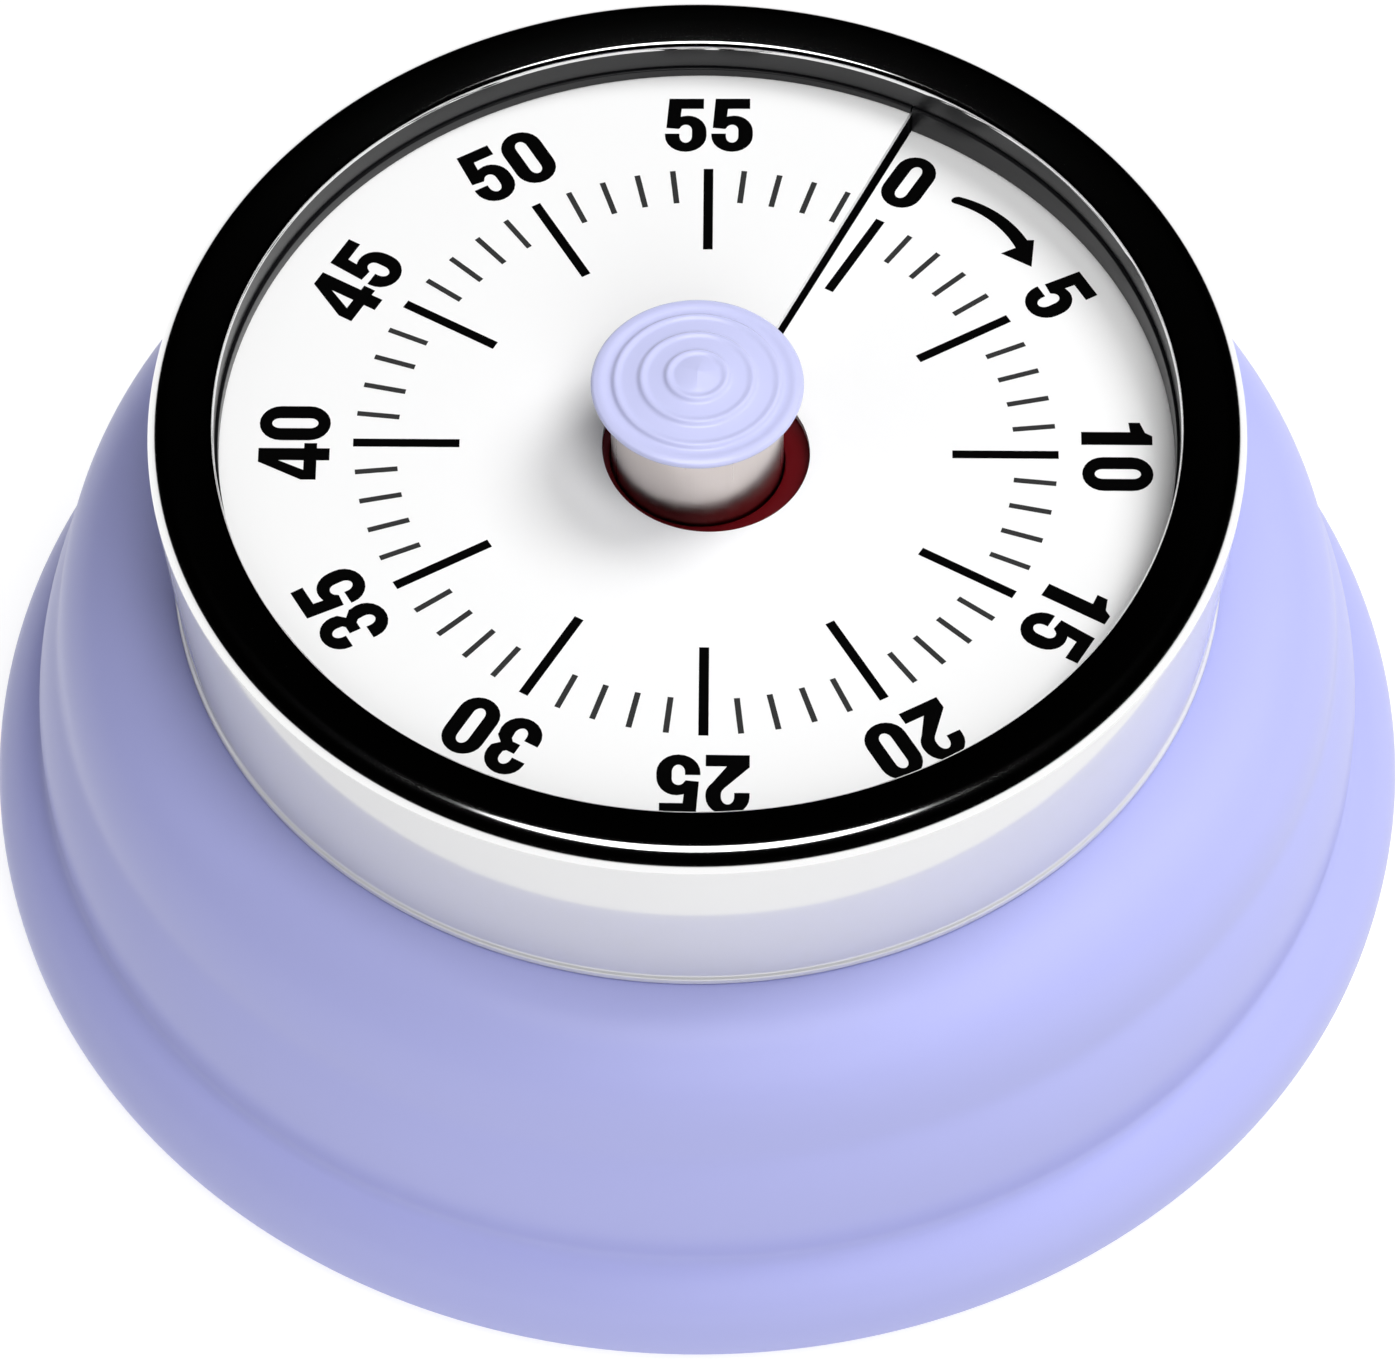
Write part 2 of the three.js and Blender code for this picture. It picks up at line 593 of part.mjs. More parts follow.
// A staff with a thin pivot at each end that runs in the two plates.
function staff() {
  const { pivotRadius, pivotInset, staffRadius, endShake } = ARBOR;
  return stepped(rearBottom + pivotInset, [
    [pivotRadius, rearTop + endShake],
    [staffRadius, frontBottom - endShake],
    [pivotRadius, frontTop - pivotInset],
  ]);
}

function wheel({ teeth, module, windows, windowRadius }, toothAngle, boreRadius, bottom, extraHoles = []) {
  const shape = gearShape(teeth, module, toothAngle);
  const rootRadius = (teeth / 2 - WHEEL.rootDepth) * module;
  const reach = (rootRadius + boreRadius) / 2 + FREE;
  for (const { spot, radius } of extraHoles) punch(shape, spot, radius);
  punch(shape, new THREE.Vector2(), boreRadius + FIT, ROUND);
  for (let i = 0; i < windows; i += 1) punch(shape, polar(reach, i * 360 / windows), windowRadius);
  return slab(shape, bottom, WHEEL.thickness);
}

// A pinion cut on its staff; a space between its teeth faces the wheel that drives it.
function pinionStaff({ module }, level, towardsDriver) {
  const gap = towardsDriver + Math.PI / TRAIN.pinionTeeth;
  const leaves = gearShape(TRAIN.pinionTeeth, module, gap);
  return join(staff(), slab(leaves, level - TRAIN.pinionOverlap, WHEEL.pinionHeight));
}

function addMainArborWheels() {
  const middle = new THREE.Vector2();
  const { mainRadius } = ARBOR;
  const greatTop = greatLevel + WHEEL.thickness;
  const [rise, crest, drop] = RATCHET.flank;
  const ratchetFlank = [[RATCHET.root, rise], [RATCHET.tip, crest], [RATCHET.root, drop]];
  const ratchet = toothedShape(RATCHET.teeth, ratchetFlank, 0);
  const rivetHole = { spot: polar(CLICK.reach, CLICK.angle), radius: CLICK.rivet + FIT };
  punch(ratchet, middle, mainRadius + FIT, ROUND);
  add('great_wheel', 'brass',
    wheel(TRAIN.great, direction(middle, secondCentre), mainRadius, greatLevel, [rivetHole]));
  add('ratchet_wheel', 'satin', slab(ratchet, greatTop + SEAT, CLICK.height));
  addClick(greatTop);
  addMainspring(greatTop + SPRING.aboveWheel);
}

// The pawl that lets the ratchet wheel slip one way, and the rivet it swings on.
function addClick(greatTop) {
  const spot = polar(CLICK.reach, CLICK.angle);
  const tip = polar(RATCHET.tip + FREE, CLICK.tipAngle).sub(spot);
  const bottom = greatTop + SEAT;
  const top = bottom + CLICK.height + SEAT;
  const outline = armShape(tip.length(), tip.angle(), CLICK.width, CLICK.tipWidth);
  const pawl = slab(outline, bottom, CLICK.height);
  add('click', 'satin', cut(pawl, bore(CLICK.rivet + RUN, 0, top)), spot);
  add('click_rivet', 'satin', stepped(greatTop - WHEEL.thickness, [
    [CLICK.rivet, top], [CLICK.rivet + FREE, top + FREE],
  ]), spot);
}

function addMainspring(bottom) {
  const { strip, barrelRadius, barrelWall, turns } = SPRING;
  const inner = ARBOR.mainRadius + FREE;
  const inside = barrelRadius - barrelWall;
  const top = camLevel - SPRING.belowCam;
  add('spring_barrel', 'brass', turned([
    [inner, bottom], [barrelRadius, bottom], [barrelRadius, top], [inside, top],
    [inside, bottom + barrelWall], [inner, bottom + barrelWall], [inner, bottom],
  ], ROUND * 1.5));
  const coil = spiralShape(inner + FREE, inside - FREE, turns, strip);
  add('mainspring', 'steel', slab(coil, bottom + barrelWall + SEAT, top - bottom - 2 * barrelWall));
}

function addCam() {
  const outline = new THREE.Shape();
  const half = radians(CAM.notchHalfAngle);
  const notch = radians(HAMMER.tipAngle);
  outline.absarc(0, 0, CAM.radius, notch + half, notch - half + TAU, false);
  outline.absarc(0, 0, CAM.radius - CAM.notchDepth, notch - half, notch + half, false);
  punch(outline, new THREE.Vector2(), ARBOR.mainRadius + FIT, ROUND);
  add('alarm_cam', 'brass', slab(outline, camLevel, CAM.thickness, ROUND));
}

function addTrain() {
  const { great, second, third } = TRAIN;
  const { staffRadius } = ARBOR;
  const towardsMain = direction(secondCentre, new THREE.Vector2());
  const towardsThird = direction(secondCentre, thirdCentre);
  const towardsEscape = direction(thirdCentre, escapeCentre);
  add('second_pinion', 'satin', pinionStaff(great, greatLevel, towardsMain), secondCentre);
  add('second_wheel', 'brass', wheel(second, towardsThird, staffRadius, secondLevel), secondCentre);
  add('third_pinion', 'satin', pinionStaff(second, secondLevel, towardsThird + Math.PI), thirdCentre);
  add('third_wheel', 'brass', wheel(third, towardsEscape, staffRadius, thirdLevel), thirdCentre);
  add('escape_pinion', 'satin', pinionStaff(third, thirdLevel, towardsEscape + Math.PI), escapeCentre);
}

// A slim-toothed escape wheel and a lever with two pins beside it.
function addEscapement() {
  const { teeth, tipRadius, rootRadius, rootHalf, tipHalf, height } = ESCAPE;
  const { span, pinRadius, hubWidth } = PALLET;
  const towardsPallet = direction(escapeCentre, palletCentre);
  const pitch = TAU / teeth;
  const flank = [
    [rootRadius, -rootHalf], [tipRadius, -tipHalf], [tipRadius, tipHalf], [rootRadius, rootHalf],
  ];
  const outline = toothedShape(teeth, flank, towardsPallet + (span / 2 - 1 / 4) * pitch);
  punch(outline, new THREE.Vector2(), ARBOR.staffRadius + FIT);
  add('escape_wheel', 'brass', slab(outline, escapeLevel, height), escapeCentre);

  const pinReach = tipRadius + pinRadius + PALLET.pinGap;
  const arm = (length, angle, tip) =>
    slab(armShape(length, angle, hubWidth, tip), palletLevel, PALLET.height);
  const parts = [arm(PALLET.forkLength, direction(palletCentre, balanceCentre), PALLET.forkTip)];
  for (const side of [-1, 1]) {
    const angle = towardsPallet + side * span / 2 * pitch;
    const offset = new THREE.Vector2(Math.cos(angle), Math.sin(angle)).multiplyScalar(pinReach);
    const pin = offset.add(escapeCentre).sub(palletCentre);
    const pinTop = palletLevel + PALLET.height / 2;
    parts.push(arm(pin.length() + PALLET.armOverlap, pin.angle(), PALLET.armTip));
    parts.push(rod(pinRadius, escapeLevel - PALLET.pinGap, pinTop).translate(pin.x, pin.y, 0));
  }
  add('pallet_lever', 'steel', cut(join(...parts), staffHole()), palletCentre);
  add('pallet_staff', 'satin', staff(), palletCentre);
}

function addBalance() {
  const { radius, rim, thickness, hubRadius, rollerRadius, rollerHeight } = BALANCE;
  const top = balanceLevel + thickness;
  const bar = new THREE.BoxGeometry(2 * radius - rim, BALANCE.spoke, thickness);
  const spoke = bar.translate(0, 0, balanceLevel + thickness / 2);
  const body = join(
    ring(radius - rim, radius, balanceLevel, top, ROUND * 1.5), rod(hubRadius, balanceLevel, top), spoke,
  );
  const rollerLevel = palletLevel - BALANCE.rollerDrop;
  const roller = rod(rollerRadius, rollerLevel, rollerLevel + rollerHeight, ROUND);
  const hair = spiralShape(ARBOR.staffRadius + FREE, HAIR.outer, HAIR.turns, HAIR.strip);
  add('balance_wheel', 'brass', cut(body, staffHole()), balanceCentre);
  add('balance_staff', 'satin', join(staff(), roller), balanceCentre);
  add('hairspring', 'steel', slab(hair, balanceLevel - HAIR.belowWheel, HAIR.height), balanceCentre);
}

// ---------------------------------------------------------------- pillars, hammer and bell

function addPillars() {
  const { radius, rivetRadius, rivetHead, threadDepth, bite } = PILLAR;
  const threadRadius = SCREW.shank + FIT;
  PILLAR.angles.forEach((degrees, i) => {
    const spot = polar(pillarReach, degrees);
    const pillar = stepped(rearBottom - SEAT - rivetHead, [
      [rivetRadius, rearBottom - SEAT], [SCREW.shank, rearTop + SEAT], [radius, frontBottom - SEAT],
    ]);
    const thread = bore(threadRadius, frontBottom - threadDepth, frontBottom);
    const spacer = ring(threadRadius, radius, frontTop + SEAT, floorBottom - SEAT, FINE);
    const length = floorTop + SEAT - frontBottom + bite;
    add(`pillar_${i + 1}`, 'brass', cut(pillar, thread), spot);
    add(`spacer_${i + 1}`, 'brass', spacer, spot);
    add(`movement_screw_${i + 1}`, 'steel', screw(floorTop + SEAT, length, SCREW.smallHead, -1), spot);
  });
}

function addHammer() {
  const { armWidth, armHeight, hubWidth, headRadius, headHeight, headAngle, tipAngle } = HAMMER;
  const rest = bellRadius - BELL.wall - headRadius - HAMMER.restGap;
  const head = polar(rest, headAngle).sub(hammerCentre);
  const tip = polar(CAM.radius + FREE, tipAngle).sub(hammerCentre);
  const arm = slab(armShape(head.length(), head.angle(), hubWidth, armWidth), armLevel, armHeight);
  const headBottom = armLevel - HAMMER.headDrop;
  const weight = rod(headRadius, headBottom, headBottom + headHeight, ROUND).translate(head.x, head.y, 0);
  const leverShape = armShape(tip.length(), tip.angle(), hubWidth, HAMMER.leverTip);
  const lever = slab(leverShape, camLevel, CAM.thickness);
  const arbor = stepped(armLevel - FREE, [[ARBOR.staffRadius, frontTop + HAMMER.arborEnd]]);
  add('hammer', 'steel', cut(join(arm, weight), staffHole()), hammerCentre);
  add('hammer_lever', 'steel', cut(lever, staffHole()), hammerCentre);
  add('hammer_arbor', 'satin', arbor, hammerCentre);
}

function addBell() {
  const { wall, height, corner, holeRadius, bevel, socketDepth, nutRadius, nutHeight } = BELL;
  const bellFloor = bellBottom + wall;
  const edge = corner * bevel;
  const innerEdge = wall * (1 - bevel);
  const hole = clearOf(holeRadius, SMOOTH);
  add('bell', 'brass', turned([
    [hole, bellBottom], [bellRadius - corner, bellBottom], [bellRadius - edge, bellBottom + edge],
    [bellRadius, bellBottom + corner], [bellRadius, bellBottom + height],
    [bellRadius - wall, bellBottom + height], [bellRadius - wall, bellBottom + corner],
    [bellRadius - edge - innerEdge, bellBottom + edge + innerEdge],
    [bellRadius - corner, bellFloor], [hole, bellFloor], [hole, bellBottom],
  ], SMOOTH));
  const stud = holeRadius - RUN;
  const post = stepped(bellBottom - SEAT - BELL.postEnd, [
    [stud, bellFloor + SEAT], [BELL.postRadius, rearBottom - SEAT],
  ], ROUND);
  const socket = bore(ARBOR.mainRadius - ARBOR.footStep + RUN, rearBottom - socketDepth, rearBottom, ROUND);
  const blank = rod(nutRadius, bellBottom - SEAT - nutHeight, bellBottom - SEAT, 6);
  add('bell_post', 'satin', cut(post, socket));
  add('bell_nut', 'brass', cut(blank, bore(stud + FIT, 0, bellBottom, ROUND)));
}

addCase();
addMagnet();
addDial();
addKnob();
add('rear_plate', 'brass', plate(rearBottom, ARBOR.mainRadius - ARBOR.footStep));
add('front_plate', 'brass', plate(frontBottom, ARBOR.mainRadius));
addMainArborWheels();
addCam();
addTrain();
addEscapement();
addBalance();
addPillars();
addHammer();
addBell();

export default timer;
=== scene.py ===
"""Finished surfaces of a wind-up kitchen timer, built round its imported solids.

Sizes in the dataclasses are millimetres in the solids' own frame: +Z up, the 0 mark along +Y.
"""
import json
import logging
import math
from collections.abc import Callable, Iterable, Sequence
from dataclasses import dataclass, field
from enum import Enum

import bmesh
import bpy
from mathutils import Matrix, Vector


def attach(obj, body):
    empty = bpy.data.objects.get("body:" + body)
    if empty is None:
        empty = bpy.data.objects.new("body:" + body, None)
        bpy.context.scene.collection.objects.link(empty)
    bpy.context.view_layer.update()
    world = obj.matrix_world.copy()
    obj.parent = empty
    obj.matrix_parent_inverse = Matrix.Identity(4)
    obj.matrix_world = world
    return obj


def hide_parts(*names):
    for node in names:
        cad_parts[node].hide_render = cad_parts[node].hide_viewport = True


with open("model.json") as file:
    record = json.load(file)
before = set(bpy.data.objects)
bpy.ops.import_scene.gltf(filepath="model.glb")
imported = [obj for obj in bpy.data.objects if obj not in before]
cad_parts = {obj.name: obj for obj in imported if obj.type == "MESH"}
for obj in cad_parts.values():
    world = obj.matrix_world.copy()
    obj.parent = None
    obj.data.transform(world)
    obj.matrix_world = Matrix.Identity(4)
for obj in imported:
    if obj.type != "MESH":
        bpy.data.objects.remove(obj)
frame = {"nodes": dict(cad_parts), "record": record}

LOG = logging.getLogger("timer")
MM = 0.001
TAU = 2 * math.pi

Point = tuple[float, float]
Colour = tuple[float, float, float]


# ---------------------------------------------------------------- finishes


class Grain(Enum):
    """How the fine relief of a finish runs."""

    EVEN = "even"
    TURNED = "turned"
    DRAWN = "drawn"


@dataclass(frozen=True)
class Finish:
    """A procedural surface finish.

    Args:
        name: the material's name.
        colour: linear base colour.
        roughness: middle roughness of the surface.
        metallic: 1 for bare metal, 0 for paint, plastic and rubber.
        coat: weight of a clear lacquer.
        grain: direction of the fine relief.
        grain_size: distance between the relief's bumps or lines.
        grain_depth: height of the relief.
        unevenness: share by which colour and roughness wander.
        specular: strength of the base layer's gloss.
        glow: light the surface gives off by itself.
    """

    name: str
    colour: Colour
    roughness: float
    metallic: float = 0.0
    coat: float = 0.0
    grain: Grain = Grain.EVEN
    grain_size: float = 0.4
    grain_depth: float = 0.002
    unevenness: float = 0.03
    specular: float = 0.5
    glow: float = 0.0

    def material(self) -> bpy.types.Material:
        """Builds the material once and hands out the same one after that.

        A material that the frame has already loaded under this name is handed out as it is.

        Returns:
            The material of this finish.
        """
        made = bpy.data.materials.get(self.name)
        if made:
            return made
        made = bpy.data.materials.new(self.name)
        made.use_nodes = True
        nodes, links = made.node_tree.nodes, made.node_tree.links
        shader = nodes["Principled BSDF"]
        shader.inputs["Metallic"].default_value = self.metallic
        shader.inputs["Specular IOR Level"].default_value = self.specular
        shader.inputs["Coat Weight"].default_value = self.coat
        shader.inputs["Coat Roughness"].default_value = 0.05
        shader.inputs["Emission Color"].default_value = (1, 1, 1, 1)
        shader.inputs["Emission Strength"].default_value = self.glow
        relief = self._noise(nodes, links, 1 / (self.grain_size * MM), self.grain)
        bump = nodes.new("ShaderNodeBump")
        bump.inputs["Strength"].default_value = 1.0
        bump.inputs["Distance"].default_value = self.grain_depth * MM
        links.new(relief, bump.inputs["Height"])
        links.new(bump.outputs["Normal"], shader.inputs["Normal"])
        drift = self._noise(nodes, links, 1 / (9 * MM), Grain.EVEN)
        tone = nodes.new("ShaderNodeMix")
        tone.data_type = "RGBA"
        tone.inputs["A"].default_value = (*[c * (1 - self.unevenness) for c in self.colour], 1)
        tone.inputs["B"].default_value = (*[min(1, c * (1 + self.unevenness)) for c in self.colour], 1)
        links.new(drift, tone.inputs["Factor"])
        links.new(tone.outputs["Result"], shader.inputs["Base Color"])
        gloss = nodes.new("ShaderNodeMapRange")
        gloss.inputs["To Min"].default_value = self.roughness * (1 - 3 * self.unevenness)
        gloss.inputs["To Max"].default_value = self.roughness * (1 + 3 * self.unevenness)
        links.new(relief, gloss.inputs["Value"])
        links.new(gloss.outputs["Result"], shader.inputs["Roughness"])
        return made

    def _noise(self, nodes, links, scale: float, grain: Grain) -> bpy.types.NodeSocket:
        """Adds a noise in object space.

        Args:
            nodes: the material's nodes.
            links: the material's links.
            scale: bumps in a metre.
            grain: TURNED gives rings round the Z axis, DRAWN gives lines along it.

        Returns:
            The noise's factor socket.
        """
        where = nodes.new("ShaderNodeTexCoord").outputs["Object"]
        if grain is Grain.TURNED:
            split = nodes.new("ShaderNodeSeparateXYZ")
            links.new(where, split.inputs["Vector"])
            flat = nodes.new("ShaderNodeCombineXYZ")
            links.new(split.outputs["X"], flat.inputs["X"])
            links.new(split.outputs["Y"], flat.inputs["Y"])
            reach = nodes.new("ShaderNodeVectorMath")
            reach.operation = "LENGTH"
            links.new(flat.outputs["Vector"], reach.inputs[0])
            rings = nodes.new("ShaderNodeCombineXYZ")
            links.new(reach.outputs["Value"], rings.inputs["X"])
            links.new(split.outputs["Z"], rings.inputs["Y"])
            where = rings.outputs["Vector"]
        if grain is Grain.DRAWN:
            stretch = nodes.new("ShaderNodeMapping")
            stretch.inputs["Scale"].default_value = (1, 1, 0.02)
            links.new(where, stretch.inputs["Vector"])
            where = stretch.outputs["Vector"]
        noise = nodes.new("ShaderNodeTexNoise")
        noise.inputs["Scale"].default_value = scale
        noise.inputs["Detail"].default_value = 3
        links.new(where, noise.inputs["Vector"])
        return noise.outputs["Fac"]


LACQUER = Finish("lavender_lacquer", (0.44, 0.46, 0.83), 0.36, coat=0.08, grain_size=0.9, unevenness=0.012,
                 specular=0.22)
# The cap wears the same lavender paint as the housing. This copy is made lighter as painted light, standing
# in for the stronger light on top of the knob.
LIT_CAP_LACQUER = Finish("cap_lacquer_painted_light", (0.6, 0.62, 0.92), 0.25, coat=0.6, grain_size=0.7, unevenness=0.012)
# The frame has loaded plain materials named polished_steel and dial_white, and those two are what
# POLISHED and DIAL_WHITE hand out: the numbers written for them have no effect until they are renamed.
POLISHED = Finish("polished_steel", (0.93, 0.93, 0.93), 0.035, 1, grain=Grain.TURNED, grain_depth=0.0001)
BAND_STEEL = Finish("band_steel", (0.82, 0.82, 0.82), 0.06, 0.28, grain=Grain.TURNED, grain_depth=0.0001)
SATIN = Finish("satin_steel", (0.66, 0.6, 0.58), 0.3, 1, grain=Grain.DRAWN, grain_size=0.35,
               grain_depth=0.012, unevenness=0.08)
TURNED_STEEL = Finish("turned_steel", (0.55, 0.55, 0.57), 0.28, 1, grain=Grain.TURNED, grain_size=0.15)
BRASS = Finish("clockwork_brass", (0.72, 0.5, 0.16), 0.3, 1, grain_size=0.25, unevenness=0.06)
DIAL_WHITE = Finish("dial_white", (0.32, 0.32, 0.32), 0.42, grain_size=0.3, grain_depth=0.001,
                    unevenness=0.01)
# Black plastic of the dial frame and its rings; the same black is also painted on the steel band's lower hem
# wall as painted shade.
BLACK_PLASTIC_AND_HEM_SHADE = Finish("frame_black_and_hem_shade", (0.006, 0.006, 0.007), 0.3, grain_size=0.3)
COVER_BLACK = Finish("cover_black", (0.02, 0.02, 0.022), 0.5, grain_size=0.35, grain_depth=0.012)
# Near-black red: the disc's red is darkened as painted shade, so that it reads as the shadowed disc seen in
# the hub hole. The real disc is a brighter red.
SHADED_DISC_RED = Finish("disc_red_darkened_as_shade", (0.11, 0.003, 0.005), 0.4, grain_size=0.3)
INK_BLACK = Finish("ink_black", (0.001, 0.001, 0.001), 0.6, grain_size=0.15, specular=0.05)
INK_GREY = Finish("ink_grey", (0.035, 0.035, 0.035), 0.6, grain_size=0.15, specular=0.05)
FOOT_RUBBER = Finish("foot_rubber", (0.03, 0.03, 0.032), 0.75, grain_size=0.2, grain_depth=0.01)
FERRITE = Finish("magnet_ferrite", (0.07, 0.07, 0.075), 0.6, grain_size=0.25, grain_depth=0.02)
FLOOR = Finish("studio_floor", (0.3, 0.3, 0.3), 0.7, grain_size=3, unevenness=0.004, specular=0.1, glow=0.8)

SLOT_FINISH: dict[str, Finish] = {
    "lavender_paint": LACQUER,
    "polished_steel": POLISHED,
    "brushed_steel": TURNED_STEEL,
    "brass": BRASS,
    "black_plastic": COVER_BLACK,
    "dial_white": DIAL_WHITE,
    "indicator_red": SHADED_DISC_RED,
    "rubber": FOOT_RUBBER,
    "ferrite": FERRITE,
}


# ---------------------------------------------------------------- mesh helpers


def place(name: str, mesh: bpy.types.Mesh, finish: Finish, body: str,
          stands_for: Sequence[str] = ()) -> bpy.types.Object:
    """Puts a finished mesh into the scene and ties it to a body.

    Args:
        name: the piece's name.
        mesh: its mesh, in metres, in the solids' frame.
        finish: what it is made of on the outside.
        body: the moving body it rides on.
        stands_for: the solids it replaces.

    Returns:
        The new object.
    """
    mesh.materials.clear()
    mesh.materials.append(finish.material())
    piece = bpy.data.objects.new(name, mesh)
    bpy.context.scene.collection.objects.link(piece)
    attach(piece, body)
    if stands_for:
        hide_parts(*stands_for)
    LOG.info("%s: %d faces, rides on %s", name, len(mesh.polygons), body)
    return piece


def dress(piece: bpy.types.Object, finish: Finish, inside: Callable[[float, float], bool]) -> None:
    """Gives part of a piece another finish.

    Args:
        piece: the piece, standing on the Z axis.
        finish: the other finish.
        inside: tells from a face's radius and height, in millimetres, whether it takes that finish.
    """
    piece.data.materials.append(finish.material())
    slot = len(piece.data.materials) - 1
    for face in piece.data.polygons:
        x, y, z = face.center / MM
        if inside(math.hypot(x, y), z):
            face.material_index = slot


def closed_mesh(name: str, corners: Sequence[Sequence[float]], faces: Sequence[Sequence[int]],
                sharp_degrees: float = 35) -> bpy.types.Mesh:
    """Builds a closed mesh with outward faces from millimetre corners.

    Args:
        name: the mesh's name.
        corners: corner points in millimetres.
        faces: corner numbers of each face.
        sharp_degrees: edges bent more than this stay crisp.

    Returns:
        The mesh, in metres.
    """
    mesh = bpy.data.meshes.new(name)
    mesh.from_pydata([Vector(c) * MM for c in corners], [], faces)
    return tidy_normals(mesh, sharp_degrees)


def tidy_normals(mesh: bpy.types.Mesh, sharp_degrees: float = 35) -> bpy.types.Mesh:
    """Merges doubled corners, turns the faces outwards and smooths all but the crisp edges.

    Args:
        mesh: a closed mesh, in metres.
        sharp_degrees: edges bent more than this stay crisp.

    Returns:
        The same mesh.
    """
    work = bmesh.new()
    work.from_mesh(mesh)
    bmesh.ops.remove_doubles(work, verts=work.verts, dist=1e-3 * MM)
    bmesh.ops.dissolve_degenerate(work, edges=work.edges, dist=1e-4 * MM)
    bmesh.ops.recalc_face_normals(work, faces=work.faces)
    work.to_mesh(mesh)
    work.free()
    mesh.shade_smooth()
    mesh.set_sharp_from_angle(angle=math.radians(sharp_degrees))
    return mesh


def arc(centre: Point, radii: Point, start: float, end: float, steps: int = 12) -> list[Point]:
    """Points of an elliptic arc, its angles in degrees from the first axis towards the second."""
    turns = [math.radians(start + (end - start) * i / steps) for i in range(steps + 1)]
    return [(centre[0] + radii[0] * math.cos(t), centre[1] + radii[1] * math.sin(t)) for t in turns]


def bulge(start: Point, end: Point, height: float, steps: int = 24) -> list[Point]:
    """Points of a shallow outward curve between two points of a profile.

    Args:
        start: first point, as radius and height.
        end: last point.
        height: how far the middle stands off the straight line.
        steps: pieces the curve is cut into.

    Returns:
        The curve's points, both ends included.
    """
    run, rise = end[0] - start[0], end[1] - start[1]
    length = math.hypot(run, rise)
    outward = (abs(rise) / length, abs(run) / length)
    points = []
    for i in range(steps + 1):
        t = i / steps
        lift = 4 * height * t * (1 - t)
        points.append((start[0] + run * t + outward[0] * lift, start[1] + rise * t + outward[1] * lift))
    return points


def eased(profile: Sequence[tuple[float, float, float]], steps: int = 5) -> list[Point]:
    """Rounds the corners of a closed profile.

    Args:
        profile: radius, height and corner rounding of each point, in order round the profile.
        steps: pieces of each rounded corner.

    Returns:
        The rounded profile's points.
    """
    rounded: list[Point] = []
    count = len(profile)
    for i, (x, y, radius) in enumerate(profile):
        here = Vector((x, y))
        back = Vector(profile[i - 1][:2]) - here
        ahead = Vector(profile[(i + 1) % count][:2]) - here
        if radius == 0:
            rounded.append((x, y))
            continue
        reach = min(radius, back.length * 0.45, ahead.length * 0.45)
        start, end = here + back.normalized() * reach, here + ahead.normalized() * reach
        for k in range(steps + 1):
            t = k / steps
            point = start * (1 - t) ** 2 + here * (2 * t * (1 - t)) + end * t**2
            rounded.append((point.x, point.y))
    return rounded


def revolve(name: str, profile: Sequence[Point], facets: int = 192, centre: Point = (0, 0),
            sharp_degrees: float = 35) -> bpy.types.Mesh:
    """Turns a closed profile about a vertical axis.

    Args:
        name: the mesh's name.
        profile: radius and height of each point; it closes on itself.
        facets: faces round the axis.
        centre: where the axis stands.
        sharp_degrees: edges bent more than this stay crisp.

    Returns:
        The closed mesh, in metres.
    """
    count = len(profile)
    corners = []
    for i in range(facets):
        cos, sin = math.cos(TAU * i / facets), math.sin(TAU * i / facets)
        corners += [(centre[0] + r * cos, centre[1] + r * sin, z) for r, z in profile]
    faces = []
    for i in range(facets):
        a, b = i * count, (i + 1) % facets * count
        for k in range(count):
            n = (k + 1) % count
            faces.append((a + k, b + k, b + n, a + n))
    return closed_mesh(name, corners, faces, sharp_degrees)


# ---------------------------------------------------------------- geometry node trees


